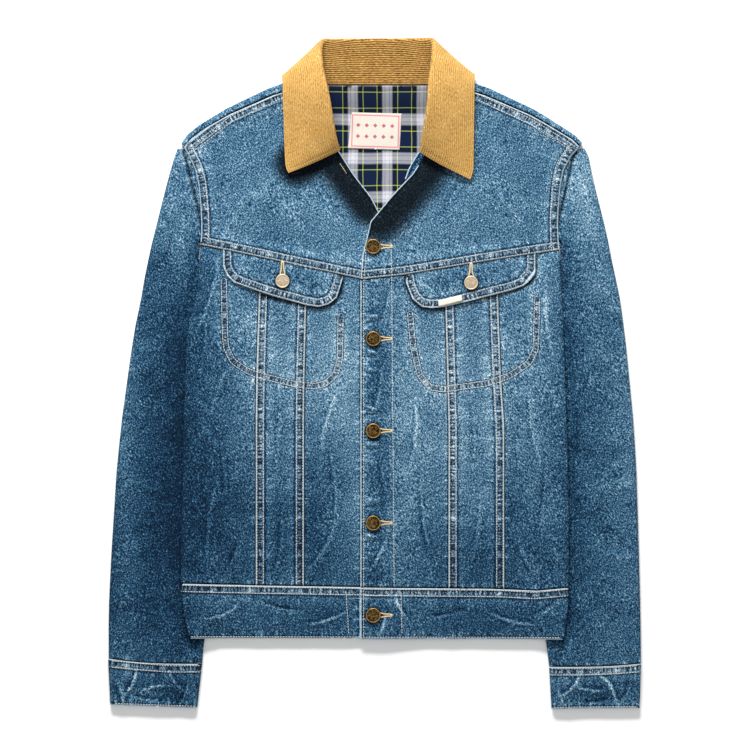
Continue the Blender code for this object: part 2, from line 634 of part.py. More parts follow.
def sleeve(side, finish):
    """Two-piece sleeve laid flat: the top piece turns under at the outer fold."""
    sign = SIDES[side]
    cuff_top, cuff_rise = CUFFS[side][2], CUFFS[side][3]
    inner_hem, outer_hem = CUFFS[side][0], CUFFS[side][1]

    def level(row, share):
        """y of a row, which slants towards the cuff seam at a share of the width."""
        near_cuff = ease((-0.180 - row) / (-0.180 - SLEEVE_ROWS[-1]))
        return row + (cuff_top - SLEEVE_ROWS[-1] + cuff_rise * share ** 3 + SEAM_GAP) * near_cuff

    def top_start(y):
        """x where the top piece begins: tucked under the yoke, or at the inner seam."""
        inner = sleeve_edge(side, y, inner=True)
        if y > UNDERARM:
            return inner - sign * ARMHOLE_TURN_IN * ease((y - UNDERARM - 0.003) / 0.012)
        return inner + sign * (0.0032 + (INNER_SEAM_INSET - 0.0032) * ease((0.128 - y) / 0.030))

    def outer_fold(y, turn):
        edge = sleeve_edge(side, y, inner=False)
        high = sleeve_level(side, edge - sign * 0.002, y)
        return round_edge(edge, LOWEST, high, sign, turn)

    def inner_fold(y, turn):
        edge = sleeve_edge(side, y, inner=True)
        high = sleeve_level(side, edge + sign * 0.001, y)
        return round_edge(edge, LOWEST, high, -sign, turn)

    def place_top(u, v):
        y = level(v, min(u, 1.0))
        start = top_start(y)
        end, _ = outer_fold(y, 0.0)
        if u <= 1:
            x = mix(start, end, u)
            return x, y, sleeve_level(side, x, y)
        if u <= 2:
            x, z = outer_fold(y, u - 1)
            return x, y, z
        under_width = min(SLEEVE_TURN_UNDER, abs(end - sleeve_edge(side, y, inner=True)) - 0.003)
        x = end - sign * max(under_width, 0.001) * (u - 2)
        return x, y, LOWEST

    def place_under(u, v):
        y = level(v, 1 - min(u, 1.0))
        fold_x, _ = outer_fold(y, 0.0)
        under_width = min(SLEEVE_TURN_UNDER, abs(fold_x - sleeve_edge(side, y, inner=True)) - 0.003)
        start = fold_x - sign * (max(under_width, 0.001) + SEAM_GAP)
        if y > UNDERARM + 0.0005:
            return mix(start, sleeve_edge(side, y, inner=True) + sign * 0.002, min(u, 1.0)), y, LOWEST
        end, _ = inner_fold(y, 1.0)
        if u <= 1:
            return mix(start, end, u), y, LOWEST
        if u <= 2:
            x, z = inner_fold(y, 2 - u)
            return x, y, z
        x = mix(inner_fold(y, 0.0)[0], top_start(y) - sign * SEAM_GAP, u - 2)
        return x, y, sleeve_level(side, x, y)

    fold = [1.0, 1.25, 1.5, 1.75, 2.0]
    across_top = [*np.linspace(0, 0.9, 9), *fold, 3.0]
    cloth(f"sleeve_top_{side}", across_top, SLEEVE_ROWS, place_top, DENIM, finish)
    flat = [0.0, 0.33, 0.66]
    under = [row for row in SLEEVE_ROWS if row <= 0.225]
    first_folded = under.index(UNDERARM)

    def keep(column, row):
        return column < len(flat) or row >= first_folded

    cloth(f"sleeve_under_{side}", [*flat, *fold, 3.0], under, place_under, DENIM, finish, keep=keep)


def cuff(side, finish):
    """Doubled cuff, a flattened ring that closes the sleeve."""
    sign = SIDES[side]
    inner_x, outer_x, top_y, rise, inner_corner, outer_corner = CUFFS[side]
    low = DOUBLED_DENIM / 2

    def place(u, v):
        """u goes round: 0 to 1 on top from inner to outer, 1 to 2 the fold, 2 to 3 below, 3 to 4 the fold."""
        share = {0: u, 1: 1.0, 2: 3 - u, 3: 0.0, 4: 0.0}[int(u)]
        top = np.array([mix(inner_x, outer_x, share), top_y + rise * share ** 3 - SEAM_GAP])
        hem = mix(np.array(inner_corner), np.array(outer_corner), share)
        x, y = mix(top, hem, v)
        radius = 0.0024
        high = low + 2 * radius
        inward = sign * (DENIM / 2 + radius) * (1 - 2 * share)
        if u <= 1:
            return x + inward, y, high + fold_relief(x, y) * 4 * share * (1 - share)
        if 2 <= u <= 3:
            return x + inward, y, low
        turn = u - 1 if u < 2 else 4 - u
        x, z = round_edge(x, low, high, sign if u < 2 else -sign, turn)
        return x, y, z

    fold = [1.25, 1.5, 1.75]
    across = [*np.linspace(0, 1, 8), *fold, *np.linspace(2, 3, 4), 3.25, 3.5, 3.75, 4.0]
    cloth(f"cuff_{side}", across, [0.0, 0.5, 1.0], place, DOUBLED_DENIM, finish, closed=True)


def collar(finish):
    """Collar cut in one with its stand: it rises from the neckline, folds over and lies outwards."""
    rows = np.array(COLLAR)

    def place(u, v):
        index = u * (len(rows) - 1)
        start = min(int(index), len(rows) - 2)
        share = index - start
        row = mix(rows[start], rows[start + 1], share)
        seam, roll, edge = row[0:3], row[3:6], row[6:9]
        rising = (roll - seam) / np.linalg.norm(roll - seam)
        falling = (roll - edge) / np.linalg.norm(roll - edge)
        crest = (rising + falling) / np.linalg.norm(rising + falling)
        outer = edge - seam - crest * np.dot(edge - seam, crest)
        outer = outer / np.linalg.norm(outer)
        centre = roll - crest * COLLAR_FOLD_RADIUS
        if v <= 1:
            return mix(seam, centre - outer * COLLAR_FOLD_RADIUS, v)
        if v <= 2:
            turn = pi * (v - 1)
            return centre + COLLAR_FOLD_RADIUS * (crest * sin(turn) - outer * cos(turn))
        leaf = mix(centre + outer * COLLAR_FOLD_RADIUS, edge, v - 2)
        crown = 0.0016 * sin(pi * (v - 2)) * ease((leaf[2] - 0.004) / 0.010)
        return leaf + outer * crown

    across = list(np.linspace(0, 1, 41))
    down = [0.0, 0.33, 0.66, 1.0, 1.25, 1.5, 1.75, 2.0, 2.25, 2.5, 2.75, 3.0]
    cloth("collar", across, down, place, CORDUROY, finish)


def lining(finish):
    """Checked lining of the upper back, as far as the open neck shows it."""
    def place(u, v):
        x = mix(-0.0770, 0.0860, u)
        y = mix(0.1650, NECK_SEAM - 0.001, v)
        return x, y, lower_level(x, y) + DENIM / 2 + LAYER_GAP + LINING_WALL / 2

    across = [0.0, 0.2, 0.4, 0.6, 0.8, 1.0]
    down = [0.0, 0.4, 0.78, 0.82, 0.86, 0.90, 0.94, 1.0]
    cloth("back_lining", across, down, place, LINING_WALL, finish)


def neck_label(finish):
    """Small woven patch on the lining, left plain."""
    corners = np.array(((-0.0297, 0.2520), (0.0281, 0.2502), (-0.0254, 0.2922), (0.0304, 0.2909)))

    def place(u, v):
        x, y = mix(mix(corners[0], corners[1], u), mix(corners[2], corners[3], u), v)
        on_lining = DENIM / 2 + LAYER_GAP + LINING_WALL + SEAM_GAP + LABEL_WALL / 2
        return x, y, lower_level(x, y) + on_lining

    cloth("neck_label", [0, 0.5, 1.0], [0, 0.5, 1.0], place, LABEL_WALL, finish)


def flap_tab(finish):
    """Small plain tab folded over the lower edge of the left flap."""
    corners = np.array(((0.0717, 0.0745), (0.0985, 0.0812), (0.0711, 0.0815), (0.0974, 0.0880)))

    def place(u, v):
        x, y = mix(mix(corners[0], corners[1], u), mix(corners[2], corners[3], u), v)
        on_flap = DENIM / 2 + FLAP_WALL + BAND_RISE + LAYER_GAP + SEAM_GAP + LABEL_WALL / 2
        return x, y, front_level("left", x, y) + on_flap

    cloth("flap_tab", [0, 0.5, 1.0], [0, 1.0], place, LABEL_WALL, finish)


def button(name, x, y, ground, radius, finish):
    """Round metal button: a turned rim round a lower face, standing on the cloth."""
    profile = (
        (0.0, BUTTON_HEIGHT * 0.82),
        (radius * 0.62, BUTTON_HEIGHT * 0.76),
        (radius * 0.72, BUTTON_HEIGHT),
        (radius * 0.90, BUTTON_HEIGHT * 0.92),
        (radius, BUTTON_HEIGHT * 0.55),
        (radius * 0.86, BUTTON_HEIGHT * 0.15),
        (radius * 0.45, 0.0),
        (0.0, 0.0),
    )
    mesh = bpy.data.meshes.new(name)
    edges = [(index, index + 1) for index in range(len(profile) - 1)]
    mesh.from_pydata([(across, 0.0, height) for across, height in profile], edges, [])
    mesh.materials.append(finish)
    made = bpy.data.objects.new(name, mesh)
    jacket.objects.link(made)
    lift = max(
        ground(x + radius * cos(angle), y + radius * sin(angle))
        for angle in np.linspace(0, 2 * pi, 9)
    )
    made.location = (x, y, max(lift, ground(x, y)) + SEAM_GAP)
    screw = made.modifiers.new("turned", "SCREW")
    screw.steps = BUTTON_STEPS
    screw.render_steps = BUTTON_STEPS
    screw.use_merge_vertices = True
    screw.merge_threshold = 0.00001
    return made


for old in list(bpy.data.objects):
    bpy.data.objects.remove(old)
jacket = bpy.data.collections.new("denim_jacket")
bpy.context.scene.collection.children.link(jacket)

denim = material("washed denim", (0.10, 0.20, 0.32), 0.85)
corduroy = material("tan corduroy", (0.55, 0.34, 0.12), 0.9)
check = material("checked cotton", (0.10, 0.12, 0.18), 0.85)
tape = material("woven tape", (0.80, 0.76, 0.68), 0.8)
brass = material("antique brass", (0.33, 0.22, 0.09), 0.4, metallic=1.0)
pale_brass = material("pale brass", (0.62, 0.54, 0.40), 0.4, metallic=1.0)

back_panel(denim)
back_yoke(denim)
lining(check)
neck_label(tape)

SEAM_COLUMNS = {"right": (1, 2), "left": (4, 3)}
for wearer_side, wearer_sign in SIDES.items():
    outer_column, inner_column = SEAM_COLUMNS[wearer_side]

    def outer_seam(y, column=outer_column):
        return look_up(FRONT_SEAMS, y, column)

    def inner_seam(y, column=inner_column):
        return look_up(FRONT_SEAMS, y, column)

    def beside(seam, shift):
        return lambda y: seam(y) + shift

    front_yoke(wearer_side, denim)
    front_panel(
        f"front_middle_{wearer_side}", wearer_side, outer_seam, inner_seam, denim, raised=True,
    )
    front_panel(
        f"front_centre_{wearer_side}", wearer_side, beside(inner_seam, -wearer_sign * SEAM_GAP),
        lambda y, edge=FRONT_X[wearer_side]: edge, denim, raised=False,
    )
    front_side_panel(wearer_side, beside(outer_seam, wearer_sign * SEAM_GAP), denim)
    pocket_flap(wearer_side, denim)
    sleeve(wearer_side, denim)
    cuff(wearer_side, denim)

waistband(denim)
collar(corduroy)
flap_tab(tape)


def front_surface(x, y):
    return front_level("left", x, y) + DENIM / 2


def band_surface(x, y):
    return upper_level(x, y) - DENIM / 2 + DOUBLED_DENIM + BAND_LAP


for number in range(5):
    button_y = FRONT_BUTTON_TOP_Y - FRONT_BUTTON_STEP * number
    surface = band_surface if button_y < -0.24 else front_surface
    button(f"button_{number + 1}", FRONT_BUTTON_X, button_y, surface, BUTTON_RADIUS, brass)
for wearer_side, (button_x, button_y) in FLAP_BUTTONS.items():
    def flap_surface(x, y, side=wearer_side):
        return front_level(side, x, y) + DENIM / 2 + LAYER_GAP + FLAP_WALL + BAND_RISE

    button(f"flap_button_{wearer_side}", button_x, button_y, flap_surface, FLAP_BUTTON_RADIUS, pale_brass)
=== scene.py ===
"""Looks of the denim jacket, laid flat with its front up.

Metres, +Z up, collar towards +Y. Tables of places on the cloth, and names that end in _mm, are in mm.
Left and right are the wearer's, so left is +X. The sections follow the jacket as it is made: its
denim, back, fronts, flaps, waistband, sleeves and cuffs, lining, collar, sewing and buttons, then
the table and the light.
"""
from math import cos, pi, radians, sin

import bmesh
import bpy
import numpy as np
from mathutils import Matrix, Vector, noise
from mathutils.bvhtree import BVHTree


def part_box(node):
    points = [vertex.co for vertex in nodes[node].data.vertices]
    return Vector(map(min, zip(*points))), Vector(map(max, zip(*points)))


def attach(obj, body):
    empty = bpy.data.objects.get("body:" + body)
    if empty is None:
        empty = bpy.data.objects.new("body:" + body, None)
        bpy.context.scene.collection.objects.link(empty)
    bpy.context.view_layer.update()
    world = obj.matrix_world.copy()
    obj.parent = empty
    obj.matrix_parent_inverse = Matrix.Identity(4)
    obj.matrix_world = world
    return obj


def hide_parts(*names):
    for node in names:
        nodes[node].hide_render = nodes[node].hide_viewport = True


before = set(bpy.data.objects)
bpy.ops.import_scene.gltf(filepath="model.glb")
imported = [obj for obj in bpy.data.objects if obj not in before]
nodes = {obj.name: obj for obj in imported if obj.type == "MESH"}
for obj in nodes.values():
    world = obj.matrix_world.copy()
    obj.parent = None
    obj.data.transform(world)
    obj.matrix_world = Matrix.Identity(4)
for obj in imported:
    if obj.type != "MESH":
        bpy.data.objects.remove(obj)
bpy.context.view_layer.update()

# ---------------------------------------------------------------- denim
# Stone-washed indigo denim: a 3/1 cotton twill, blue warp over a white weft. Washing bares
# the white core of the yarns where the cloth stands proud: along seams, edges and creases.
MM = 0.001


def colour(code):
    """Linear RGBA of an sRGB hex value."""
    parts = [int(code[start:start + 2], 16) / 255 for start in (1, 3, 5)]
    return (*[part / 12.92 if part <= 0.04045 else ((part + 0.055) / 1.055) ** 2.4 for part in parts], 1.0)


def add(tree, kind, links=(), **settings):
    """Adds one node with its settings. links holds (input, output socket or value) pairs."""
    made = tree.nodes.new(kind)
    for name, value in settings.items():
        setattr(made, name, value)
    for place, value in links:
        if isinstance(value, bpy.types.NodeSocket):
            tree.links.new(value, made.inputs[place])
        else:
            made.inputs[place].default_value = value
    return made


def finish_named(name, roughness, metallic=0.0, sheen=0.0, specular=0.5):
    """A new material with its shader's plain values. Gives the material, its tree and its shader."""
    made = bpy.data.materials.new(name)
    made.use_nodes = True
    shader = made.node_tree.nodes["Principled BSDF"]
    shader.inputs["Roughness"].default_value = roughness
    shader.inputs["Metallic"].default_value = metallic
    shader.inputs["Sheen Weight"].default_value = sheen
    shader.inputs["Sheen Roughness"].default_value = 0.5
    shader.inputs["Specular IOR Level"].default_value = specular
    return made, made.node_tree, shader


def sum_of(tree, *parts):
    """Adds up sockets and numbers. A pair is a socket and its weight."""
    total = 0.0
    for part in parts:
        value, weight = part if isinstance(part, tuple) else (part, 1.0)
        links = ((0, value), (1, weight), (2, total))
        total = add(tree, "ShaderNodeMath", links, operation="MULTIPLY_ADD").outputs[0]
    return total


def product_of(tree, *parts):
    """Multiplies sockets and numbers."""
    total = parts[0]
    for part in parts[1:]:
        total = add(tree, "ShaderNodeMath", ((0, total), (1, part)), operation="MULTIPLY").outputs[0]
    return total


def eased(tree, value, *stops):
    """Eases from 0 at the first stop to 1 at the second, and back to 0 from a third to a fourth."""
    slopes = []
    for none, full in (stops[:2], stops[:1:-1])[:len(stops) // 2]:
        links = ((0, value), (1, none), (2, full))
        slopes.append(add(tree, "ShaderNodeMapRange", links, interpolation_type="SMOOTHSTEP").outputs[0])
    return product_of(tree, *slopes)


def grain(tree, place, size, detail=2.0, stretch=(1, 1, 1)):
    """Noise about 0, whose grains are size metres across, longer where stretch is above 1."""
    scale = tuple(1 / (size * part) for part in stretch)
    mapped = add(tree, "ShaderNodeMapping", (("Vector", place), ("Scale", scale))).outputs[0]
    made = add(tree, "ShaderNodeTexNoise", (("Vector", mapped), ("Scale", 1.0), ("Detail", detail)))
    return sum_of(tree, made.outputs[0], -0.5)


def noise_along(tree, run, across, run_size, across_size, detail):
    """Noise from 0 to 1 that follows a line, with its grains' sizes along and across it."""
    links = ((0, product_of(tree, run, 1 / run_size)), (1, product_of(tree, across, 1 / across_size)))
    place = add(tree, "ShaderNodeCombineXYZ", links).outputs[0]
    made = add(tree, "ShaderNodeTexNoise", (("Vector", place), ("Scale", 1.0), ("Detail", detail)))
    return made.outputs[0]


def toned(tree, value, shades, interpolation="LINEAR"):
    """Colour of a value from 0 to 1, by a table of levels and sRGB hex values."""
    ramp = add(tree, "ShaderNodeValToRGB", ((0, value),))
    ramp.color_ramp.interpolation = interpolation
    steps = ramp.color_ramp.elements
    while len(steps) < len(shades):
        steps.new(0.5)
    for step, (level, code) in zip(steps, shades):
        step.position = level
        step.color = colour(code)
    return ramp.outputs[0]


def darkened(tree, tint, grey):
    """The colour multiplied by a grey value."""
    greys = add(tree, "ShaderNodeCombineColor", ((0, grey), (1, grey), (2, grey))).outputs[0]
    links = ((0, 1.0), (6, tint), (7, greys))
    return add(tree, "ShaderNodeMix", links, data_type="RGBA", blend_type="MULTIPLY").outputs[2]


def faced(tree, shader, tint, height, strength, depth_mm):
    """Gives the shader its colour and its fine relief."""
    links = (("Height", height), ("Strength", strength), ("Distance", depth_mm * MM))
    relief = add(tree, "ShaderNodeBump", links).outputs[0]
    tree.links.new(tint, shader.inputs["Base Color"])
    tree.links.new(relief, shader.inputs["Normal"])


def washed_denim():
    """Indigo denim whose tone comes from washing, its yarns, its seams and the painted shade on the cloth."""
    made, tree, shader = finish_named("stone-washed indigo denim, 3/1 twill", 0.92, specular=0.12)
    place = add(tree, "ShaderNodeTexCoord").outputs["Object"]
    wash_and_shade, under, seam, fold = (
        add(tree, "ShaderNodeAttribute", attribute_name=name).outputs
        for name in ("wash_and_shade", "under", "seam", "fold")
    )
    bright_mm, band_mm, run_mm = add(tree, "ShaderNodeSeparateXYZ", ((0, seam["Vector"]),)).outputs
    aside, depth, _ = add(tree, "ShaderNodeSeparateXYZ", ((0, fold["Vector"]),)).outputs
    # the twill's wales run down to the right: yarns of uneven thickness, drawn about 1.2 mm
    # across where the real ones are 0.7 mm, and about twice as long
    turn = (0, 0, radians(-34))
    turned = add(tree, "ShaderNodeMapping", (("Vector", place), ("Rotation", turn))).outputs[0]
    slubs = grain(tree, turned, 1.5 * MM, 0.0, (1, 2.2, 1))
    flecks = grain(tree, turned, 1.0 * MM, 0.0, (1, 1.9, 1))
    mottle = grain(tree, place, 9 * MM, 2.0, (1, 1.4, 1))
    # painted shade under the collar, beside what overlaps the cloth and round the buttons
    painted_light_share = eased(tree, under["Fac"], 0.0, 1.0)
    # creases: the ridge is rubbed to a thin light line, and one flank stays dark
    aside = sum_of(tree, aside, (grain(tree, place, 6 * MM, 1.0), 5.0))
    ridge = product_of(tree, eased(tree, aside, -2.6, -0.2, 0.2, 2.4), depth)
    flank = product_of(tree, eased(tree, aside, 1.4, 3.2, 3.4, 7.0), depth)
    # doubled bands between two rows of stitches: the puckers fade to a ladder of light and dark
    rungs = eased(tree, noise_along(tree, run_mm, band_mm, 2.2, 14, 1.0), 0.36, 0.62)
    in_band = eased(tree, band_mm, 1.2, 2.6, 6.4, 7.8)
    ladder = product_of(tree, sum_of(tree, (rungs, 0.44), -0.24), in_band)
    # the inner row of stitches stands on a rubbed line; behind it, where the cloth drops away, a
    # line of painted shade, and past that it is rubbed pale
    row = eased(tree, band_mm, 7.2, 8.0, 8.6, 9.3)
    painted_drop_shade = eased(tree, band_mm, 9.0, 9.8, 10.4, 11.8)
    halo = eased(tree, band_mm, 11.0, 13.0, 13.0, 27.0)
    # flares: short light streaks that run out of a seam
    flare = eased(tree, noise_along(tree, run_mm, bright_mm, 4.2, 45, 2.0), 0.45, 0.70)
    reach = eased(tree, bright_mm, 14.0, 2.0)
    # the worn edge itself is bared to the white yarn core, with painted shade in the groove beside it
    broken = grain(tree, place, 2.2 * MM, 2.0)
    groove = eased(tree, bright_mm, 1.2, 2.0, 2.6, 4.6)
    edge = eased(tree, sum_of(tree, bright_mm, (broken, 1.4)), 1.6, 0.6)
    tone = sum_of(
        tree, wash_and_shade["Fac"], (slubs, 0.34), (flecks, 1.05), (mottle, 0.06), (painted_light_share, 0.12), -0.12,
        (ridge, 0.16), (flank, -0.12), ladder, (row, 0.20), (painted_drop_shade, -0.20), (halo, 0.03), (groove, -0.22),
        (product_of(tree, flare, reach), 0.33), (product_of(tree, flare, halo), 0.16),
    )
    bared = sum_of(tree, (broken, 0.5), 0.84)
    tone = add(tree, "ShaderNodeMix", ((0, edge), (2, tone), (3, bared)), data_type="FLOAT").outputs[0]
    dyed = toned(tree, tone, (
        (0.00, "#041527"), (0.16, "#0A2841"), (0.32, "#1F4763"), (0.46, "#406681"),
        (0.60, "#66899E"), (0.74, "#8CAAB9"), (0.88, "#BCCAD2"), (1.00, "#E4E7E6"),
    ))
    # the rubbed bands are greyer than the cloth around them
    kept = sum_of(tree, (eased(tree, band_mm, 8.6, 11.0), 0.14), 0.86)
    links = (("Saturation", kept), ("Value", kept), ("Color", dyed))
    faded = add(tree, "ShaderNodeHueSaturation", links).outputs[0]
    # painted shade: the colour itself is multiplied darker, the bared white edges less so
    painted_dimming = add(tree, "ShaderNodeMath", ((0, painted_light_share), (1, 1.6)), operation="POWER").outputs[0]
    links = ((0, product_of(tree, edge, 0.85)), (2, sum_of(tree, (painted_dimming, 0.93), 0.07)), (3, 1.0))
    painted_shade_grey = add(tree, "ShaderNodeMix", links, data_type="FLOAT").outputs[0]
    height = sum_of(
        tree, (slubs, 0.5), (flecks, 0.6), (mottle, 0.25), (ladder, 1.6), (painted_drop_shade, -0.5), (edge, 0.3),
    )
    faced(tree, shader, darkened(tree, faded, painted_shade_grey), height, 0.6, 0.7)
    return made


denim = washed_denim()

# ---------------------------------------------------------------- back
# One panel below a yoke. The yoke turns over the shoulders and is felled to the fronts
# with a doubled band. Its outer side lies flat on the table. Every panel gets its wear
# and its painted shade here.
SHOULDER = {
    "right": ((-209, 253), (-162, 289), (-110, 313), (-80, 322)),
    "left": ((227, 254), (178, 285), (118, 313), (88, 322)),
}
BODY_SIDE = {
    "right": (
        (-207, -296), (-211.1, -278), (-216.7, -234.5), (-213.5, -52), (-210.6, 32), (-201.5, 77),
        (-197.1, 99), (-194.8, 144),
    ),
    "left": (
        (211, -296), (215, -278), (217.2, -234.5), (215, -52), (211.9, 32), (209.6, 77), (208.9, 99),
        (206.6, 144),
    ),
}
BUTTONS = (
    (-1.4, 142.0), (-1.4, 39.0), (-1.4, -64.0), (-1.4, -167.0), (-1.4, -270.0), (-102.8, 103.5),
    (107.9, 101.5),
)
# main creases: centre x, y, lean in degrees, half length, half width, rise, bow
CREASES = (
    # the fronts
    (-158, 172, 58, 34, 5.0, 0.8, 3), (-172, 200, 70, 26, 4.5, -0.6, -2), (-60, 205, -62, 34, 7.0, -0.7, 4),
    (-92, 178, -50, 30, 6.0, 0.5, 2), (92, 205, 58, 36, 7.0, -0.7, -4), (150, 188, -55, 30, 5.5, 0.7, 3),
    (186, 168, -68, 24, 4.0, -0.5, 2), (40, 160, 35, 26, 5.0, 0.5, 3), (-30, 130, -30, 22, 4.5, 0.6, -2),
    (-182, 88, 74, 40, 4.5, 0.9, 4), (-190, 30, 84, 46, 5.0, -0.7, 3), (-176, -20, 70, 34, 4.5, 0.6, -3),
    (-168, -96, 96, 44, 6.0, -0.7, 4), (-184, -160, 82, 40, 5.0, 0.8, -3),
    (-158, -208, 66, 24, 5.0, -0.6, 2), (-106, -60, 88, 40, 5.0, 0.5, 2),
    (-104, -186, 84, 34, 5.0, -0.6, 2), (-52, -48, 72, 34, 5.0, 0.6, -3), (-44, -120, 96, 36, 4.5, -0.6, 3),
    (-56, -196, 60, 28, 5.0, 0.6, 3), (6, -20, 80, 26, 3.6, 0.5, 2), (9, -112, 100, 28, 3.4, -0.5, -2),
    (5, -205, 62, 20, 3.6, 0.7, 2), (12, 70, 72, 22, 3.2, -0.5, 2), (46, -70, 84, 36, 5.0, 0.6, 3),
    (56, -170, 100, 36, 5.0, -0.6, -3), (112, -66, 92, 38, 5.0, -0.5, 2), (116, -176, 82, 36, 5.0, 0.6, 2),
    (176, -60, 98, 46, 5.5, 0.7, -4), (190, -140, 84, 42, 5.0, -0.7, 3), (168, -204, 112, 26, 5.0, 0.7, -2),
    (192, 60, 96, 42, 4.5, 0.8, -4), (184, 8, 80, 30, 4.5, -0.5, 2),
    # the right sleeve
    (-226, 190, 72, 30, 6.0, 0.9, 4), (-233, 130, 60, 30, 6.0, -0.8, 4), (-240, 96, 38, 26, 5.5, 1.0, 4),
    (-250, 60, 22, 24, 5.0, -0.8, 3), (-236, 34, 46, 28, 5.5, 0.8, -4), (-262, 6, 8, 22, 5.5, 0.8, 3),
    (-244, -24, 30, 28, 5.0, -0.8, 3), (-268, -58, -12, 22, 6.0, 0.9, -3),
    (-246, -88, 18, 26, 5.0, -0.7, 3), (-262, -124, -24, 26, 5.5, 0.9, 3),
    (-244, -160, 34, 26, 5.5, -0.8, -3), (-268, -196, 10, 22, 5.5, 0.8, 3),
    (-240, -226, -28, 26, 5.5, 0.8, 3), (-262, -262, 20, 26, 5.0, -0.8, 3),
    (-226, -284, -48, 22, 5.0, 0.9, 2), (-270, -300, 12, 20, 4.0, 0.8, 2),
    (-236, -308, 34, 16, 3.6, 0.7, 2),
    # the left sleeve
    (238, 200, -72, 30, 6.0, 0.9, -4), (243, 140, -58, 30, 6.0, -0.8, -4),
    (250, 100, -40, 26, 5.5, 1.0, -4), (262, 64, -18, 24, 5.0, -0.8, 3), (246, 36, -44, 28, 5.5, 0.8, 4),
    (272, 4, -10, 22, 5.5, 0.8, 3), (252, -30, -32, 28, 5.0, -0.8, 3), (274, -66, 14, 22, 6.0, 0.9, -3),
    (252, -96, -20, 26, 5.0, -0.7, 3), (270, -130, 22, 26, 5.5, 0.9, 3),
    (250, -166, -36, 26, 5.5, -0.8, -3), (274, -204, -8, 22, 5.5, 0.8, 3), (246, -232, 26, 26, 5.5, 0.8, 3),
    (268, -268, -22, 26, 5.0, -0.8, 3), (232, -292, 44, 22, 5.0, 0.9, 2), (276, -306, -14, 20, 4.0, 0.8, 2),
    # the cuffs
    (-270, -346, 66, 18, 3.4, 0.9, 4), (-246, -350, 12, 20, 3.2, 0.7, -4),
    (-224, -344, -52, 16, 3.2, 0.8, 3), (-258, -364, -10, 20, 2.8, -0.6, 2),
    (-212, -360, 70, 14, 3.0, -0.6, 2), (-282, -360, 100, 14, 3.0, 0.6, 2),
    (264, -350, -58, 18, 3.4, 0.9, -4), (240, -354, -10, 22, 3.2, 0.7, 4), (222, -350, 48, 18, 3.2, 0.8, 3),
    (250, -368, 8, 20, 2.8, -0.6, 2), (282, -358, 64, 14, 3.0, -0.6, 2), (208, -362, -70, 12, 3.0, 0.6, 2),
    # the waistband
    (-170, -270, 22, 20, 3.4, 0.5, 3), (-110, -262, -14, 24, 3.4, -0.5, 2),
    (-52, -276, 18, 22, 3.2, 0.6, 3), (10, -282, 70, 12, 2.6, 0.7, 2), (28, -262, -60, 14, 2.8, 0.7, 2),
    (84, -270, 12, 24, 3.4, -0.5, 2), (150, -276, -16, 24, 3.4, 0.6, 3), (192, -264, 30, 16, 3.0, -0.5, 2),
)
# short puckers across the folded front edge: how far above a button, lean, rise
PUCKERS = ((26, -8, 0.8), (16, 7, -0.6), (-14, -10, 0.8), (-23, 8, -0.7), (-34, -5, 0.6))
CREASES += tuple(
    (-5, y + above, lean, 11, 2.8, rise, 1) for _, y in BUTTONS[1:4] for above, lean, rise in PUCKERS
)
# how far washing has faded the cloth: centre x, y, half widths, change in tone
WASH_BASE = 0.375
WASH = (
    (0, 215, 260, 90, 0.07), (-166, 5, 20, 34, -0.07), (-148, 60, 16, 32, 0.09), (-95, -10, 75, 75, 0.12),
    (115, -10, 85, 85, 0.14), (10, -60, 55, 260, 0.10), (-40, 20, 60, 60, 0.06), (-215, 60, 22, 150, -0.07),
    (-190, -140, 50, 110, -0.06), (-70, -190, 45, 70, -0.10), (90, -215, 60, 45, -0.13),
    (170, -210, 50, 40, -0.06), (215, -60, 16, 160, -0.03), (-225, 195, 24, 60, 0.12),
    (236, 205, 22, 60, 0.16), (246, 120, 26, 60, 0.05), (-235, -60, 40, 260, -0.15),
    (-285, 0, 16, 300, 0.10), (-240, -250, 60, 90, -0.03), (255, -150, 50, 220, -0.05),
    (290, -100, 20, 240, 0.09), (4, 20, 18, 60, -0.12), (-298, -200, 16, 110, -0.19),
    (-106, -40, 16, 50, -0.07), (109, -20, 18, 40, -0.07), (184, 84, 22, 36, 0.08),
    (0, -292, 220, 12, -0.07), (-222, -358, 14, 18, -0.11), (252, -361, 16, 14, -0.12),
    (-256, -361, 14, 12, 0.07), (-215, 142, 14, 22, 0.12), (-180, -260, 60, 26, 0.05),
    (-248, -348, 50, 22, 0.12), (248, -352, 50, 22, 0.14), (0, -268, 220, 24, 0.08),
    (-105, 112, 60, 14, -0.04), (108, 108, 60, 14, -0.04), (150, -100, 70, 50, 0.03),
    (-184, -90, 26, 160, -0.06), (4, -60, 17, 130, -0.19), (4, -215, 16, 60, -0.08),
    (-74, -80, 14, 150, -0.07), (-207, 250, 18, 16, 0.14), (-110, -243, 110, 6, 0.08),
    (110, -246, 110, 6, 0.08), (-246, -329, 50, 6, 0.08), (248, -334, 50, 6, 0.14),
    (0, -268, 230, 26, -0.16), (-246, -348, 60, 26, -0.17), (246, -350, 60, 26, -0.19),
    (-250, -200, 60, 180, -0.07), (225, -60, 24, 230, -0.06), (150, -150, 22, 110, -0.08),
    (292, -200, 14, 120, -0.08), (-140, -180, 80, 80, -0.09), (-50, -92, 18, 22, -0.06),
    (190, -95, 20, 30, -0.06), (-10, -232, 26, 20, -0.06), (140, -270, 50, 18, -0.07),
    (-52, -270, 20, 16, -0.06),
)
SAME_SPOT = 0.00001
SEEN_RISE = 0.25
FAR_MM = 99.0
STANDING_MM = 10.0
BUTTON_MM = 7.0


def line_field(points, line):
    """Distance of each point to a line, and how far along the line it is."""
    nearest = np.full(len(points), 1e3)
    run = np.zeros(len(points))
    passed = 0.0
    for start, end in zip(np.array(line[:-1], float), np.array(line[1:], float)):
        way = end - start
        length = np.linalg.norm(way)
        share = np.clip((points - start) @ way / length ** 2, 0, 1)
        apart = np.linalg.norm(points - start - share[:, None] * way, axis=1)
        closer = apart < nearest
        nearest[closer] = apart[closer]
        run[closer] = passed + share[closer] * length
        passed += length
    return nearest, run


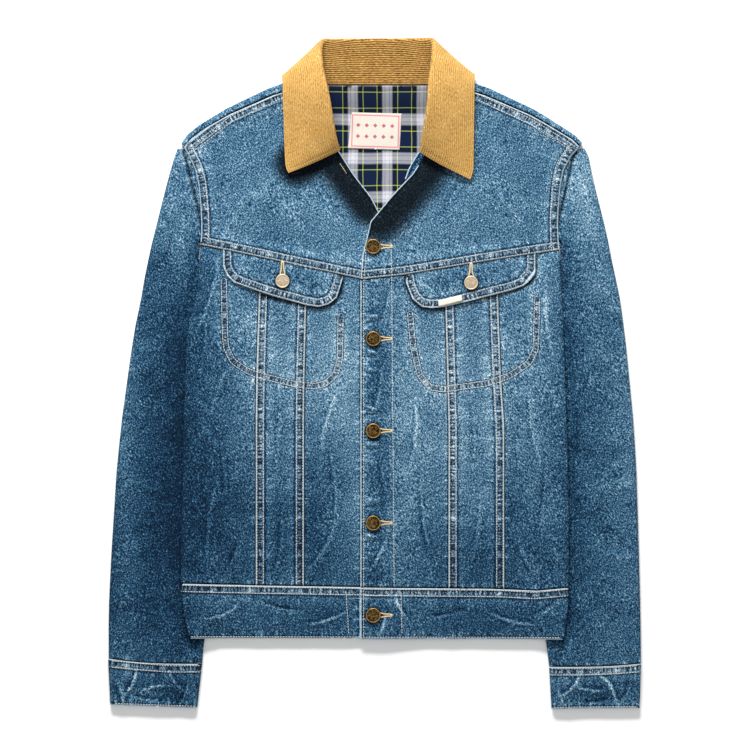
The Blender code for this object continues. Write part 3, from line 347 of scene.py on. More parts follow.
def reached(line):
    """How far along a line each of its points is."""
    return np.concatenate(([0], np.cumsum(np.linalg.norm(np.diff(line, axis=0), axis=1))))


def spots_on(line, stops):
    """Spots that lie these lengths along a line."""
    return np.stack([np.interp(stops, reached(line), line[:, axis]) for axis in (0, 1)], -1)


def moved_line(line, aside):
    """The line, aside mm to its left, cut into steps of about 2 mm and eased at its corners."""
    line = np.array(line, float)
    length = reached(line)[-1]
    fine = spots_on(line, np.linspace(0, length, max(int(length / 2), 2)))
    for _ in range(3):
        fine[1:-1] = fine[1:-1] * 0.5 + (fine[:-2] + fine[2:]) * 0.25
    way = np.gradient(fine, axis=0)
    way /= np.linalg.norm(way, axis=1)[:, None]
    return fine + aside * np.stack([-way[:, 1], way[:, 0]], 1)


def snapped(line, rim):
    """The line drawn again through the piece's own rim where that runs within 4 mm of it."""
    if len(rim) == 0:
        return line
    apart, run = line_field(rim, line)
    near = (apart < 4.0) & (run > 0.5) & (run < run.max() - 0.5)
    if near.sum() < 6:
        return line
    points, runs, gaps = rim[near], run[near], apart[near]
    picked = []
    for stop in np.arange(runs.min(), runs.max(), 5.0):
        beside = np.abs(runs - stop) < 3.0
        if beside.any():
            picked.append(points[beside][np.argmin(gaps[beside])])
    if len(picked) < 2:
        return line
    return np.array([2 * picked[0] - picked[1], *picked, 2 * picked[-1] - picked[-2]])


def smooth(value, low, high):
    """Eases from 0 to 1 as the value goes from low to high."""
    share = np.clip((value - low) / (high - low), 0, 1)
    return share * share * (3 - 2 * share)


def bell(value, width):
    """1 where the value is 0, falling to 0.37 where it is width."""
    return np.exp(-(value / width) ** 2)


def ripple(points, size, seed):
    """Soft noise about 0 at each point, with waves of size mm."""
    return np.array([noise.noise(Vector((x / size, y / size, seed))) for x, y in points])


def crease_relief(points):
    """Rise of the creases at each point, how far aside the strongest one is, and its depth there."""
    rise = np.zeros(len(points))
    aside = np.full(len(points), 20.0)
    depth = np.zeros(len(points))
    for x, y, lean, half_length, half_width, height, bow in CREASES:
        angle = radians(lean)
        away_x, away_y = points[:, 0] - x, points[:, 1] - y
        down = (away_x * cos(angle) + away_y * sin(angle)) / half_length
        across = away_y * cos(angle) - away_x * sin(angle) - bow * down ** 2
        rise += height * np.exp(-down ** 2) * bell(across, half_width)
        felt = abs(height) * np.exp(-down ** 4) * bell(across, half_width * 2.2)
        stronger = felt > depth
        aside[stronger] = across[stronger]
        depth[stronger] = felt[stronger]
    return rise, aside, depth


def wash_tone(points, rise):
    """Tone of the faded cloth: lighter where the stones rubbed it and on its ridges."""
    tone = np.full(len(points), WASH_BASE)
    for x, y, half_x, half_y, change in WASH:
        tone += change * bell(points[:, 0] - x, half_x) * bell(points[:, 1] - y, half_y)
    return tone + 0.07 * rise + 0.06 * ripple(points, 34, 3.0) + 0.05 * ripple(points, 13, 7.0)


def finely_cut(cloth, cell, seen):
    """Cuts the seen side into cells and eases its height. Gives its points, and those within it."""
    bmesh.ops.remove_doubles(cloth, verts=cloth.verts, dist=SAME_SPOT)
    bmesh.ops.join_triangles(
        cloth, faces=cloth.faces, angle_face_threshold=radians(25), angle_shape_threshold=radians(50),
    )
    for _ in range(7):
        long_edges = [
            edge for edge in cloth.edges
            if edge.calc_length() > cell and any(face.normal.z * seen > SEEN_RISE for face in edge.link_faces)
        ]
        if not long_edges:
            break
        bmesh.ops.subdivide_edges(cloth, edges=long_edges, cuts=1, use_grid_fill=True)
        cloth.normal_update()
    bmesh.ops.triangulate(cloth, faces=[face for face in cloth.faces if len(face.verts) > 4])
    cloth.normal_update()
    top = [vertex for vertex in cloth.verts if vertex.normal.z * seen > SEEN_RISE]
    inner = [
        vertex for vertex in top if all(face.normal.z * seen > SEEN_RISE for face in vertex.link_faces)
    ]
    for _ in range(4):
        bmesh.ops.smooth_vert(cloth, verts=inner, factor=0.5, use_axis_z=True)
    cloth.verts.index_update()
    return top, inner


def painted(mesh, name, values):
    """Keeps a value, or a row of three, for each point of a mesh under this name."""
    values = np.array(values, float)
    kind, place = ("FLOAT", "value") if values.ndim == 1 else ("FLOAT_VECTOR", "vector")
    mesh.attributes.new(name, kind, "POINT").data.foreach_set(place, values.ravel())


def placed(name, mesh, finish, is_smooth=True):
    """Puts a mesh into the scene in its material. It rides with the jacket."""
    mesh.polygons.foreach_set("use_smooth", [is_smooth] * len(mesh.polygons))
    mesh.materials.clear()
    mesh.materials.append(finish)
    made = bpy.data.objects.new(name, mesh)
    bpy.context.scene.collection.objects.link(made)
    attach(made, "root")
    return made


sewn = []


def worn(node, cell, bright=(), bands=(), pockets=(), covers=(), steady=(),
         seen=1, crumple=1.0, finish=denim, slot="denim"):
    """Cloth in place of a CAD node: its seen side cut finely, then creased, puckered and painted.

    bright are its worn white edges and bands its doubled edges. pockets are rows of stitches
    that cross it. covers are edges of other pieces that lie on it, each with the reach in mm of
    the shade painted beside it; painted shade also rings each button. Creases die out towards
    the steady lines and grow with crumple. seen is 1 for cloth seen from above and -1 for cloth
    seen from below.
    """
    mesh = nodes[node].data.copy()
    mesh.name = node + "_cloth"
    cloth = bmesh.new()
    cloth.from_mesh(mesh)
    top, inner = finely_cut(cloth, cell, seen)
    points = np.array([vertex.co[:2] for vertex in cloth.verts]) * 1000
    # in order of place, so that each run picks the same ones of two that are as near
    rim = np.array(sorted(tuple(points[vertex.index]) for vertex in set(top) - set(inner)))
    rise, aside, depth = crease_relief(points)
    rise *= crumple
    hold = np.ones(len(points))
    for line in steady:
        hold *= smooth(line_field(points, line)[0], 1.5, 12.0)
    lift = 1.5 * rise * hold + 0.5 * ripple(points, 26, 1.0) * hold + 0.16 * ripple(points, 9, 5.0)
    # distance to the nearest worn edge and to the nearest doubled edge, and the run along them
    bright_mm = np.full(len(points), FAR_MM)
    band_mm = np.full(len(points), FAR_MM)
    run_mm = np.zeros(len(points))
    for number, line in enumerate((*bright, *bands)):
        apart, run = line_field(points, snapped(line, rim))
        lift += 0.34 * bell(apart - 5, 4.5) * np.sin(run / 1.25 + 2.2 * np.sin(run / 9.0) + apart * 0.35)
        run_mm = np.where(apart < bright_mm, run, run_mm)
        bright_mm = np.minimum(bright_mm, apart)
        if number >= len(bright):
            band_mm = np.minimum(band_mm, apart)
    # under is 0 in full painted shade and 1 in the open: the collar stands off the cloth and its
    # painted shade darkens a wide strip, and beside a seam the painted shade is a narrow dark line
    under = np.full(len(points), FAR_MM)
    for line, reach in covers:
        apart, run = line_field(points, snapped(line, rim))
        under = np.minimum(under, apart / reach + (-0.6 if reach > STANDING_MM else 0.25))
        apart += 3.5
        run_mm = np.where(apart < bright_mm, run, run_mm)
        bright_mm = np.minimum(bright_mm, apart)
    # painted shadow in a ring round each button
    for x, y in BUTTONS:
        apart = np.clip(np.hypot(points[:, 0] - x, points[:, 1] - y) - BUTTON_MM, 0, None)
        under = np.minimum(under, apart / 5.5 + 0.2)
    for line in pockets:
        apart, run = line_field(points, line)
        lift += 0.30 * bell(apart - 2, 3.0) * np.sin(run / 1.2 + 2.0 * np.sin(run / 8.0))
        apart = 2.5 + 2 * apart
        run_mm = np.where(apart < band_mm, run, run_mm)
        band_mm = np.minimum(band_mm, apart)
    lift *= smooth(np.array([abs(vertex.normal.z) for vertex in cloth.verts]), 0.05, 0.6)
    tone = wash_tone(points, rise * hold)
    # painted shade on the sleeves where they pass under the body's sides
    if node.startswith("sleeve"):
        for line in BODY_SIDE.values():
            tone -= 0.10 * bell(line_field(points, line)[0], 15)
    if seen > 0:
        for vertex, amount in zip(cloth.verts, lift):
            if vertex.normal.z > 0:
                vertex.co.z += amount * MM
    cloth.to_mesh(mesh)
    cloth.free()
    painted(mesh, "wash_and_shade", tone)
    painted(mesh, "under", under)
    painted(mesh, "fold", np.stack([aside, depth * hold * crumple ** 2, aside * 0], 1))
    painted(mesh, "seam", np.stack([bright_mm, band_mm, run_mm], 1))
    made = placed(node + "_cloth", mesh, finish)
    mesh.set_sharp_from_angle(angle=radians(60))
    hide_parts(node)
    if slot == "denim" and seen > 0:
        sewn.append(made)


worn("back_panel", 0.007, seen=-1)
worn(
    "back_yoke", 0.0032, covers=[(line, 3.0) for line in SHOULDER.values()],
    crumple=0.3,
)

# ---------------------------------------------------------------- fronts
# Each front has a yoke and three panels with felled seams between them, sewn twice in pale
# thread. The left front's edge is folded and lies over the right one.
CELL = 0.0026
FRONT_EDGE = (
    (-15.7, -296), (-15.7, 100), (-14.3, 114.9), (-12.2, 153), (-1, 177.6), (24.6, 204.3), (37.5, 220.5),
    (54.7, 230.8), (59.8, 234.3),
)
RIGHT_LAPEL = ((19.6, 148), (10, 174), (-8.7, 206), (-24.2, 224), (-37.9, 238.6), (-42, 249))
YOKE_SEAM = {
    "right": (
        (-194.8, 144.2), (-160.7, 137.3), (-103.6, 125.0), (-46.5, 112.7), (-15, 106.5), (19.6, 99.2),
    ),
    "left": ((206.6, 138.4), (177.5, 134.2), (106.2, 122.8), (34.7, 110.7), (-15.5, 105.6)),
}
ARMHOLE = {
    "right": (
        (-194.8, 144), (-193.3, 159), (-194.5, 184.4), (-197.1, 212.4), (-201.7, 230.3), (-208.1, 243.3),
        (-214, 253),
    ),
    "left": (
        (206.6, 138), (204.8, 159), (205.3, 184.4), (207.3, 212.4), (211.1, 230.3), (218.7, 243.3),
        (228, 253),
    ),
}
COLLAR_EDGE = {
    "right": ((-86, 235), (-70, 244), (-53, 248), (-38, 234), (-20, 212), (-4, 190)),
    "left": ((98, 227), (80, 239), (65, 244), (50, 232), (36, 216), (18, 197), (2, 180)),
}
COLLAR_SHADE = {"right": 21.0, "left": 29.0}
MIDDLE_SEAMS = {
    "right": (
        ((-132.7, -240), (-132.7, -52), (-132.2, -10.5), (-129.4, 76.8), (-128, 130)),
        ((-79, -240), (-78.9, -52), (-78.5, -10.5), (-76.5, 76.8), (-75, 130)),
    ),
    "left": (
        ((145, -240), (144.9, -52), (141.1, -10.5), (138.3, 76.8), (136.5, 130)),
        ((82.8, -240), (82.8, -52), (81.5, -10.5), (79.2, 76.8), (77.5, 130)),
    ),
}
WAIST_SEAM = {
    "right": ((-216.7, -234.5), (-130.5, -236.8), (19.6, -239.2)),
    "left": ((218, -239), (177.5, -242.8), (138.3, -240.6), (-16, -239.2)),
}
FLAP_EDGE = {
    "right": (
        (-169.2, 139), (-169.2, 119.4), (-164, 108), (-157.8, 102), (-118.2, 88), (-75, 76.3), (-61, 74.2),
        (-46.5, 79.1), (-37.9, 90.6), (-35.7, 106), (-35.7, 110),
    ),
    "left": (
        (179.8, 134), (179.8, 110.7), (171.9, 100.6), (157.6, 94.2), (134.7, 88.5), (97.6, 79.1),
        (70.4, 72.8), (53.2, 74.2), (42, 83.6), (35.3, 101), (35.3, 110),
    ),
}
POCKET = {
    "right": (
        (-171.4, 103.7), (-170, 43.2), (-168.6, 27.6), (-160.7, 11.9), (-146.2, 1.8), (-133.8, -3.8),
        (-120.4, -7.2), (-89, -15), (-66.6, -17.2), (-53.2, -13.9), (-40.9, -2.7), (-35.7, 15.2),
        (-34.9, 64.5),
    ),
    "left": (
        (36.8, 66.8), (40.4, 28.7), (47.6, -2.7), (60.5, -18.4), (77.8, -20.6), (127.1, -13.9),
        (152.9, -4.9), (174.7, 9.6), (183.1, 26.4), (184.7, 83.6),
    ),
}
for side in ("right", "left"):
    outer, inner = MIDDLE_SEAMS[side]
    yoke, waist, armhole = YOKE_SEAM[side], WAIST_SEAM[side], ARMHOLE[side]
    pocket = [moved_line(POCKET[side], 3.0)]
    flap_shade, yoke_shade, waist_shade = (FLAP_EDGE[side], 6.5), (yoke, 3.0), (waist, 3.0)
    collar_shade = (COLLAR_EDGE[side], COLLAR_SHADE[side])
    folded = [FRONT_EDGE] if side == "left" else []
    lapped = [(FRONT_EDGE, 3.2)] if side == "right" else []
    worn(
        f"front_yoke_{side}", CELL, bright=folded or [RIGHT_LAPEL], covers=[collar_shade, *lapped],
        bands=(yoke, armhole, SHOULDER[side]), steady=(yoke, armhole), crumple=0.7,
    )
    worn(
        f"front_centre_{side}", CELL, crumple=1.3, bright=folded, pockets=pocket,
        covers=[flap_shade, yoke_shade, waist_shade, (inner, 2.6), *lapped],
        steady=(yoke, waist, FRONT_EDGE),
    )
    worn(
        f"front_middle_{side}", CELL, bands=(outer, inner), pockets=pocket, covers=[flap_shade, waist_shade],
        steady=(waist, outer, inner),
    )
    worn(
        f"front_side_{side}", CELL, pockets=pocket,
        covers=[flap_shade, yoke_shade, waist_shade, (outer, 2.6)],
        steady=(yoke, waist, BODY_SIDE[side]),
    )

# ---------------------------------------------------------------- pocket flaps
# Two layers of denim, bagged out and edge-stitched twice, set into the yoke seam.
for side in ("right", "left"):
    worn(
        f"pocket_flap_{side}", 0.0018, bands=[FLAP_EDGE[side]], covers=[(YOKE_SEAM[side], 3.0)],
        steady=(YOKE_SEAM[side], FLAP_EDGE[side]),
        crumple=0.5,
    )

# ---------------------------------------------------------------- waistband
# One doubled strip of denim round the hem, topstitched twice along its upper edge.
HEM_LINE = ((-207, -296), (-16, -296.5), (211, -297))
worn(
    "waistband", CELL, bands=WAIST_SEAM.values(), bright=(HEM_LINE, FRONT_EDGE), steady=BODY_SIDE.values(),
    crumple=1.6,
)

# ---------------------------------------------------------------- sleeves and cuffs
# Two-piece sleeves, the top piece turning under at the outer fold, and doubled cuffs.
CUFF_SEAM = {
    "right": ((-193.5, -324.8), (-230, -325), (-265, -322), (-297.6, -319.2)),
    "left": ((196, -328.2), (235, -328.2), (270, -326.8), (297.6, -324.6)),
}
CUFF_HEM = {"right": ((-199, -374), (-295, -370.5)), "left": ((198.6, -375.2), (296, -374))}
for side in ("right", "left"):
    worn(
        f"sleeve_under_{side}", 0.006, seen=-1,
    )
    worn(
        f"sleeve_top_{side}", CELL, covers=((CUFF_SEAM[side], 3.0), (ARMHOLE[side], 4.5)),
        steady=(BODY_SIDE[side], CUFF_SEAM[side], ARMHOLE[side]),
        crumple=0.5,
    )
    worn(
        f"cuff_{side}", 0.0022, bands=[CUFF_SEAM[side]], bright=[CUFF_HEM[side]],
        crumple=1.5,
    )

# ---------------------------------------------------------------- lining, neck patch and tab
# Checked cotton behind the open neck, with a small woven patch sewn onto it. A bare tab of
# tape stands out of the left flap's edge, and the left facing shows beside its lapel.
CHECK_BARS = (
    (0.00, "#0C1A36"), (0.195, "#B4C15A"), (0.218, "#0E182F"), (0.245, "#0B1117"), (0.345, "#80839A"),
    (0.37, "#B8B8BE"), (0.425, "#9C9EAC"), (0.45, "#C2C2C6"), (0.55, "#9C9EAC"), (0.575, "#B8B8BE"),
    (0.63, "#80839A"), (0.655, "#0B1117"), (0.755, "#0E182F"), (0.782, "#B4C15A"), (0.805, "#0C1A36"),
)
# repeat of the check and where it starts, in mm, for the bars that stand and those that cross
CHECK_REPEATS = ((38.4, -3.9), (43.4, 3.1))


def checked_cotton():
    """Yarn-dyed cotton check: bars of colour cross at right angles, and mix where they cross."""
    made, tree, shader = finish_named("yarn-dyed cotton check, plain weave", 0.9, specular=0.1)
    place = add(tree, "ShaderNodeTexCoord").outputs["Object"]
    wavy = add(tree, "ShaderNodeTexNoise", (("Vector", place), ("Scale", 30.0), ("Detail", 1.0)))
    links = ((0, wavy.outputs["Color"]), (1, (0.002, 0.002, 0.0)), (2, place))
    moved = add(tree, "ShaderNodeVectorMath", links, operation="MULTIPLY_ADD").outputs[0]
    parted = add(tree, "ShaderNodeSeparateXYZ", ((0, moved),)).outputs
    yarns = []
    for way, (repeat, start) in zip(parted, CHECK_REPEATS):
        share = sum_of(tree, (way, 1000 / repeat), -start / repeat)
        cycle = add(tree, "ShaderNodeMath", ((0, share),), operation="FRACT").outputs[0]
        yarns.append(toned(tree, cycle, CHECK_BARS, "CONSTANT"))
    links = ((0, 0.5), (6, yarns[0]), (7, yarns[1]))
    weave = add(tree, "ShaderNodeMix", links, data_type="RGBA").outputs[2]
    speck = grain(tree, place, 1.2 * MM, 1.0)
    # painted shade: below the stand of the collar the lining is darkened
    up = add(tree, "ShaderNodeSeparateXYZ", ((0, place),)).outputs[1]
    painted_stand_shade = sum_of(tree, 1.0, (eased(tree, up, 0.270, 0.322), -0.26))
    grey = product_of(tree, sum_of(tree, (speck, 0.5), 1.0), painted_stand_shade)
    faced(tree, shader, darkened(tree, weave, grey), speck, 0.3, 0.3)
    return made


def patch_tape():
    """Woven cream tape with a plain border and two rows of plain diamonds."""
    made, tree, shader = finish_named("woven cream tape, damask", 0.7)
    place = add(tree, "ShaderNodeTexCoord").outputs["Object"]
    links = (("Vector", place), ("Location", (0.0076, -0.2712, 0.0)), ("Rotation", (0, 0, radians(1.8))))
    centred = add(tree, "ShaderNodeMapping", links).outputs[0]
    parted = add(tree, "ShaderNodeSeparateXYZ", ((0, centred),)).outputs
    across, up = (
        add(tree, "ShaderNodeMath", ((0, way),), operation="ABSOLUTE").outputs[0] for way in parted[:2]
    )
    links = ((0, sum_of(tree, across, -0.0085)), (1, up))
    box = add(tree, "ShaderNodeMath", links, operation="MAXIMUM").outputs[0]
    border = eased(tree, box, 0.0166, 0.0170, 0.0178, 0.0182)
    # diamonds 9.5 mm apart, in rows 6.2 mm above and below the middle
    spacing = 0.0095
    cells = sum_of(tree, (parted[0], 1 / spacing), 0.1 / spacing)
    cell = add(tree, "ShaderNodeMath", ((0, cells),), operation="FRACT").outputs[0]
    aside, rows = (
        add(tree, "ShaderNodeMath", ((0, sum_of(tree, way, -middle)),), operation="ABSOLUTE").outputs[0]
        for way, middle in ((cell, 0.5), (up, 0.0062))
    )
    diamond = eased(tree, sum_of(tree, (aside, spacing), rows), 0.0027, 0.0022)
    motif = product_of(tree, diamond, eased(tree, across, 0.0220, 0.0215))
    links = ((0, border), (6, colour("#C9C1B7")), (7, colour("#C76B72")))
    edged = add(tree, "ShaderNodeMix", links, data_type="RGBA").outputs[2]
    links = ((0, motif), (6, edged), (7, colour("#A9555E")))
    woven = add(tree, "ShaderNodeMix", links, data_type="RGBA").outputs[2]
    faced(tree, shader, woven, grain(tree, place, 0.8 * MM, 1.0), 0.3, 0.2)
    return made


def tab_tape():
    """Bare off-white tape, its weave just showing."""
    made, tree, shader = finish_named("woven off-white tape, twill", 0.75)
    weave = grain(tree, add(tree, "ShaderNodeTexCoord").outputs["Object"], 0.8 * MM, 1.0)
    links = ((0, eased(tree, weave, -0.3, 0.3)), (6, colour("#CFC8B8")), (7, colour("#E6E1D5")))
    pale = add(tree, "ShaderNodeMix", links, data_type="RGBA").outputs[2]
    faced(tree, shader, pale, weave, 0.4, 0.2)
    return made


worn(
    "back_lining", 0.004, crumple=0.8,
    finish=checked_cotton(), slot="checked_lining",
)
worn(
    "neck_label", 0.002, crumple=0.8,
    finish=patch_tape(), slot="woven_tape",
)
worn(
    "flap_tab", 0.002, crumple=0.5,
    finish=tab_tape(), slot="woven_tape",
)

# the left front's facing, where it turns out from behind the lapel above the lining: spots
# along its own edge and along the lapel, its height, and how far its sides hang, in mm
FACING = np.array(((34.0, 217.5), (38.0, 229.0), (43.5, 239.0), (49.5, 248.0)))
LAPEL_SIDE = np.array(((38.5, 219.0), (49.0, 225.0), (58.0, 231.0), (64.0, 240.0)))
FACING_LEVEL, FACING_SAG, FACING_WALL = 4.8, 0.4, 0.0009
FACING_TONE = 0.30


def meshed(name, form):
    """Turns a finished bmesh into a mesh."""
    mesh = bpy.data.meshes.new(name)
    form.to_mesh(mesh)
    form.free()
    return mesh


strip = bmesh.new()
columns = []
for share in np.linspace(0, 1, 5):
    height = FACING_LEVEL - FACING_SAG * (2 * share - 1) ** 2
    spots = FACING * (1 - share) + LAPEL_SIDE * share
    columns.append([strip.verts.new((x * MM, y * MM, height * MM)) for x, y in spots])
for before, after in zip(columns[:-1], columns[1:]):
    for row in range(3):
        strip.faces.new((before[row], after[row], after[row + 1], before[row + 1]))
strip.normal_update()
facing_mesh = meshed("left_facing", strip)
spots = np.array([vertex.co[:2] for vertex in facing_mesh.vertices]) / MM
away = line_field(spots, FACING)[0]
painted(facing_mesh, "wash_and_shade", np.full(len(away), FACING_TONE))
painted(facing_mesh, "under", np.full(len(away), FAR_MM))
painted(facing_mesh, "seam", np.stack([away, np.full(len(away), FAR_MM), away * 0], 1))
facing = placed("left_facing", facing_mesh, denim, is_smooth=False)
facing.modifiers.new("wall", "SOLIDIFY").thickness = FACING_WALL

# ---------------------------------------------------------------- collar
# Tan cotton corduroy, cut in one with its stand. The wales run along its length. The stand
# is coloured darker than the leaf, its wales more marked. The edge is topstitched 6 mm in.
WALE = 2.5
COLLAR_WALL = 0.0024
COLLAR_ROUNDING = 0.0009
FOLD_RADIUS = 0.0022
EDGE_ROW = 6.0
COLLAR_LENGTH = 420.0
COLUMNS, ROWS = 220, 66
# x, y, z of the seam where the stand meets the neck, the roll where it folds, and the leaf's edge
COLLAR = (
    (-42.5, 252.0, 9.2, -39.3, 250.0, 12.5, -96.0, 224.3, 9.8),
    (-56.0, 258.5, 9.5, -42.5, 260.0, 18.5, -99.0, 233.0, 9.8),
    (-66.5, 271.0, 10.0, -46.0, 278.0, 24.5, -100.3, 256.0, 10.4),
    (-73.5, 293.0, 11.8, -49.5, 300.0, 28.5, -101.0, 283.0, 12.0),
    (-76.5, 309.0, 13.5, -54.0, 322.0, 29.0, -101.8, 306.0, 13.5),
    (-76.5, 319.0, 13.2, -58.5, 343.0, 25.0, -102.0, 324.0, 12.0),
    (-75.5, 324.0, 9.5, -60.0, 361.5, 16.5, -103.2, 332.5, 6.0),
    (-73.5, 324.2, 6.2, -57.0, 372.2, 9.5, -101.0, 328.0, 1.3),
    (-64.0, 324.3, 5.2, -44.0, 373.0, 6.2, -86.0, 319.0, 1.2),
    (-35.0, 324.0, 5.0, -25.0, 373.5, 5.8, -50.0, 312.0, 1.2),
    (4.0, 323.8, 5.0, 4.0, 373.8, 5.8, 4.0, 310.0, 1.2),
    (44.0, 324.0, 5.0, 33.0, 373.9, 5.8, 59.0, 312.0, 1.2),
    (74.0, 324.3, 5.2, 52.0, 373.9, 6.2, 95.0, 319.0, 1.2),
    (83.0, 324.2, 6.2, 64.0, 373.2, 9.5, 109.5, 329.0, 1.3),
    (85.0, 324.0, 9.5, 65.5, 361.5, 16.5, 111.8, 334.0, 6.0),
    (86.2, 319.0, 13.2, 63.5, 343.0, 25.0, 111.2, 325.0, 12.0),
    (86.0, 309.0, 13.5, 60.6, 322.0, 29.0, 111.0, 306.0, 13.5),
    (84.0, 293.0, 11.8, 59.2, 300.0, 28.5, 110.8, 280.0, 12.0),
    (79.0, 271.0, 10.0, 56.2, 278.0, 24.5, 110.5, 250.0, 10.4),
    (70.5, 257.0, 9.5, 53.2, 260.0, 18.5, 110.0, 228.0, 9.8),
    (59.0, 249.0, 9.2, 51.8, 248.0, 12.5, 107.0, 217.0, 9.8),
)


def tan_corduroy():
    """Cut-pile cotton in cords: a painted highlight on each wale and painted shade in the grooves."""
    made, tree, shader = finish_named("tan cotton corduroy, cut pile", 0.95, sheen=0.15)
    shader.inputs["Sheen Tint"].default_value = colour("#F4DCA8")
    cut = add(tree, "ShaderNodeAttribute", attribute_name="cut").outputs["Vector"]
    along, across, stand = add(tree, "ShaderNodeSeparateXYZ", ((0, cut),)).outputs
    place = add(tree, "ShaderNodeTexCoord").outputs["Object"]
    phase = product_of(tree, sum_of(tree, across, (grain(tree, place, 3.0 * MM), 0.7)), 2 * pi / WALE)
    wave = add(tree, "ShaderNodeMath", ((0, phase),), operation="SINE").outputs[0]
    fuzz = sum_of(tree, noise_along(tree, along, across, 2.6, 1.2, 3.0), -0.5)
    tone = sum_of(
        tree, 0.575, (wave, 0.07), (product_of(tree, wave, stand), 0.17), (fuzz, 1.25),
        (grain(tree, place, 14 * MM, 3.0), 0.26), (stand, -0.26),
    )
    shades = ((0.0, "#44290A"), (0.25, "#80591F"), (0.5, "#B3863F"), (0.72, "#C79D58"), (1.0, "#E4C78E"))
    faced(tree, shader, toned(tree, tone, shades), sum_of(tree, (wave, 0.5), (fuzz, 0.5)), 0.6, 0.7)
    return made


def unit(way):
    """Direction of a vector, with a length of 1."""
    return way / np.linalg.norm(way)


def collar_section(u):
    """Seam, roll and edge of the collar at a share u of its length, eased between the table's rows."""
    rows = np.array(COLLAR) * MM
    index = u * (len(rows) - 1)
    start = min(int(index), len(rows) - 2)
    share = index - start
    before, after = rows[max(start - 1, 0)], rows[min(start + 2, len(rows) - 1)]
    first, second = rows[start], rows[start + 1]
    slope_in, slope_out = (second - before) / 2, (after - first) / 2
    row = (
        first * (2 * share ** 3 - 3 * share ** 2 + 1) + slope_in * (share ** 3 - 2 * share ** 2 + share)
        + second * (3 * share ** 2 - 2 * share ** 3) + slope_out * (share ** 3 - share ** 2)
    )
    return row[0:3], row[3:6], row[6:9]


def collar_point(u, v):
    """Point of the collar: v is 0 to 1 up the stand, 1 to 2 over the roll, 2 to 3 down the leaf."""
    seam, roll, edge = collar_section(u)
    crest = unit(unit(roll - seam) + unit(roll - edge))
    outer = unit(edge - seam - crest * np.dot(edge - seam, crest))
    centre = roll - crest * FOLD_RADIUS
    if v <= 1:
        return seam + (centre - outer * FOLD_RADIUS - seam) * v
    if v <= 2:
        turn = pi * (v - 1)
        return centre + FOLD_RADIUS * (crest * sin(turn) - outer * cos(turn))
    start = centre + outer * FOLD_RADIUS
    leaf = start + (edge - start) * (v - 2)
    # where the leaf is off the table it bows out a little and waves
    raised = min(max((leaf[2] - 0.004) / 0.010, 0.0), 1.0)
    crown = 0.0016 * sin(pi * (v - 2)) * raised ** 2 * (3 - 2 * raised)
    wave = 0.0009 * noise.noise(Vector(leaf) * 38) + 0.0005 * noise.noise(Vector(leaf) * 90)
    return leaf + outer * (crown + wave * raised * sin(pi * min(v - 2, 0.8)))


form = bmesh.new()
bmesh.ops.create_grid(form, x_segments=COLUMNS, y_segments=ROWS, size=1.0)
across_stops = np.interp(np.linspace(0, 1, ROWS + 1), [0, 0.36, 0.52, 1], [0, 1, 2, 3])
cuts = []
for vertex in form.verts:
    u = (vertex.co.x + 1) / 2
    v = float(across_stops[round((vertex.co.y + 1) / 2 * ROWS)])
    seam, roll, edge = collar_section(u)
    point = collar_point(u, v)
    leaf_mm = np.linalg.norm(edge - point) / MM
    stand_mm = np.linalg.norm(seam - point) / MM
    # the edge row of stitches pulls a groove into the leaf, 230 mm being its length at the edge
    from_edge = min(leaf_mm, u * 230, (1 - u) * 230)
    groove = bell(from_edge - EDGE_ROW, 0.9) if v > 2 else 0.0
    vertex.co = Vector(point) - Vector((0, 0, 0.00035 * groove))
    stand = 1.0 - float(smooth(v, 1.1, 1.7))
    cuts.append((u * COLLAR_LENGTH, stand_mm if v < 1.5 else leaf_mm, stand))
bmesh.ops.recalc_face_normals(form, faces=form.faces)
collar_mesh = meshed("collar_cloth", form)
painted(collar_mesh, "cut", cuts)
collar = placed("collar_cloth", collar_mesh, tan_corduroy())
wall = collar.modifiers.new("wall", "SOLIDIFY")
wall.thickness = COLLAR_WALL
wall.offset = 0.0
wall.use_even_offset = True
rounded = collar.modifiers.new("rounded edges", "BEVEL")
rounded.width = COLLAR_ROUNDING
rounded.segments = 3
rounded.limit_method = "ANGLE"
rounded.angle_limit = radians(60)
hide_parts("collar")

# ---------------------------------------------------------------- sewing
# Cotton-wrapped polyester thread, in rows of about 3 mm lockstitches. Each stitch is a small
# pressed oval that follows the cloth below it. The buttonholes are worked in gold thread.
PITCH, STITCH = 3.1, 2.5
COLLAR_PITCH, COLLAR_STITCH = 2.8, 2.2
LEG_WIDTH, BAR_WIDTH = 1.7, 3.4
HIDDEN_LEVEL = 0.008


def search_tree(meshes):
    """Search tree of all the faces of these meshes."""
    spots, faces = [], []
    for mesh in meshes:
        first = len(spots)
        spots.extend(vertex.co[:] for vertex in mesh.vertices)
        faces.extend([first + index for index in polygon.vertices] for polygon in mesh.polygons)
    return BVHTree.FromPolygons(spots, faces)


bpy.context.view_layer.update()
collar_tree = search_tree([collar.evaluated_get(bpy.context.evaluated_depsgraph_get()).data])
denim_tree = search_tree([made.data for made in sewn])
owners = [made.name for made in sewn for _ in made.data.polygons]


def thread(name, code):
    """Matt spun thread, its plies just lighter and darker."""
    made, tree, shader = finish_named(name, 0.75, sheen=0.1)
    speck = grain(tree, add(tree, "ShaderNodeTexCoord").outputs["Object"], 1.6 * MM)
    shade = darkened(tree, colour(code), sum_of(tree, (speck, 0.9), 1.0))
    tree.links.new(shade, shader.inputs["Base Color"])
    return made


def ground(tree, x, y, on=""):
    """Height of the cloth below a point, or None where another piece covers the named one."""
    hit, _, index, _ = tree.ray_cast(Vector((x, y, 0.1)), Vector((0, 0, -1)))
    if hit is None or (on and not owners[index].startswith(on)):
        return None
    return hit.z


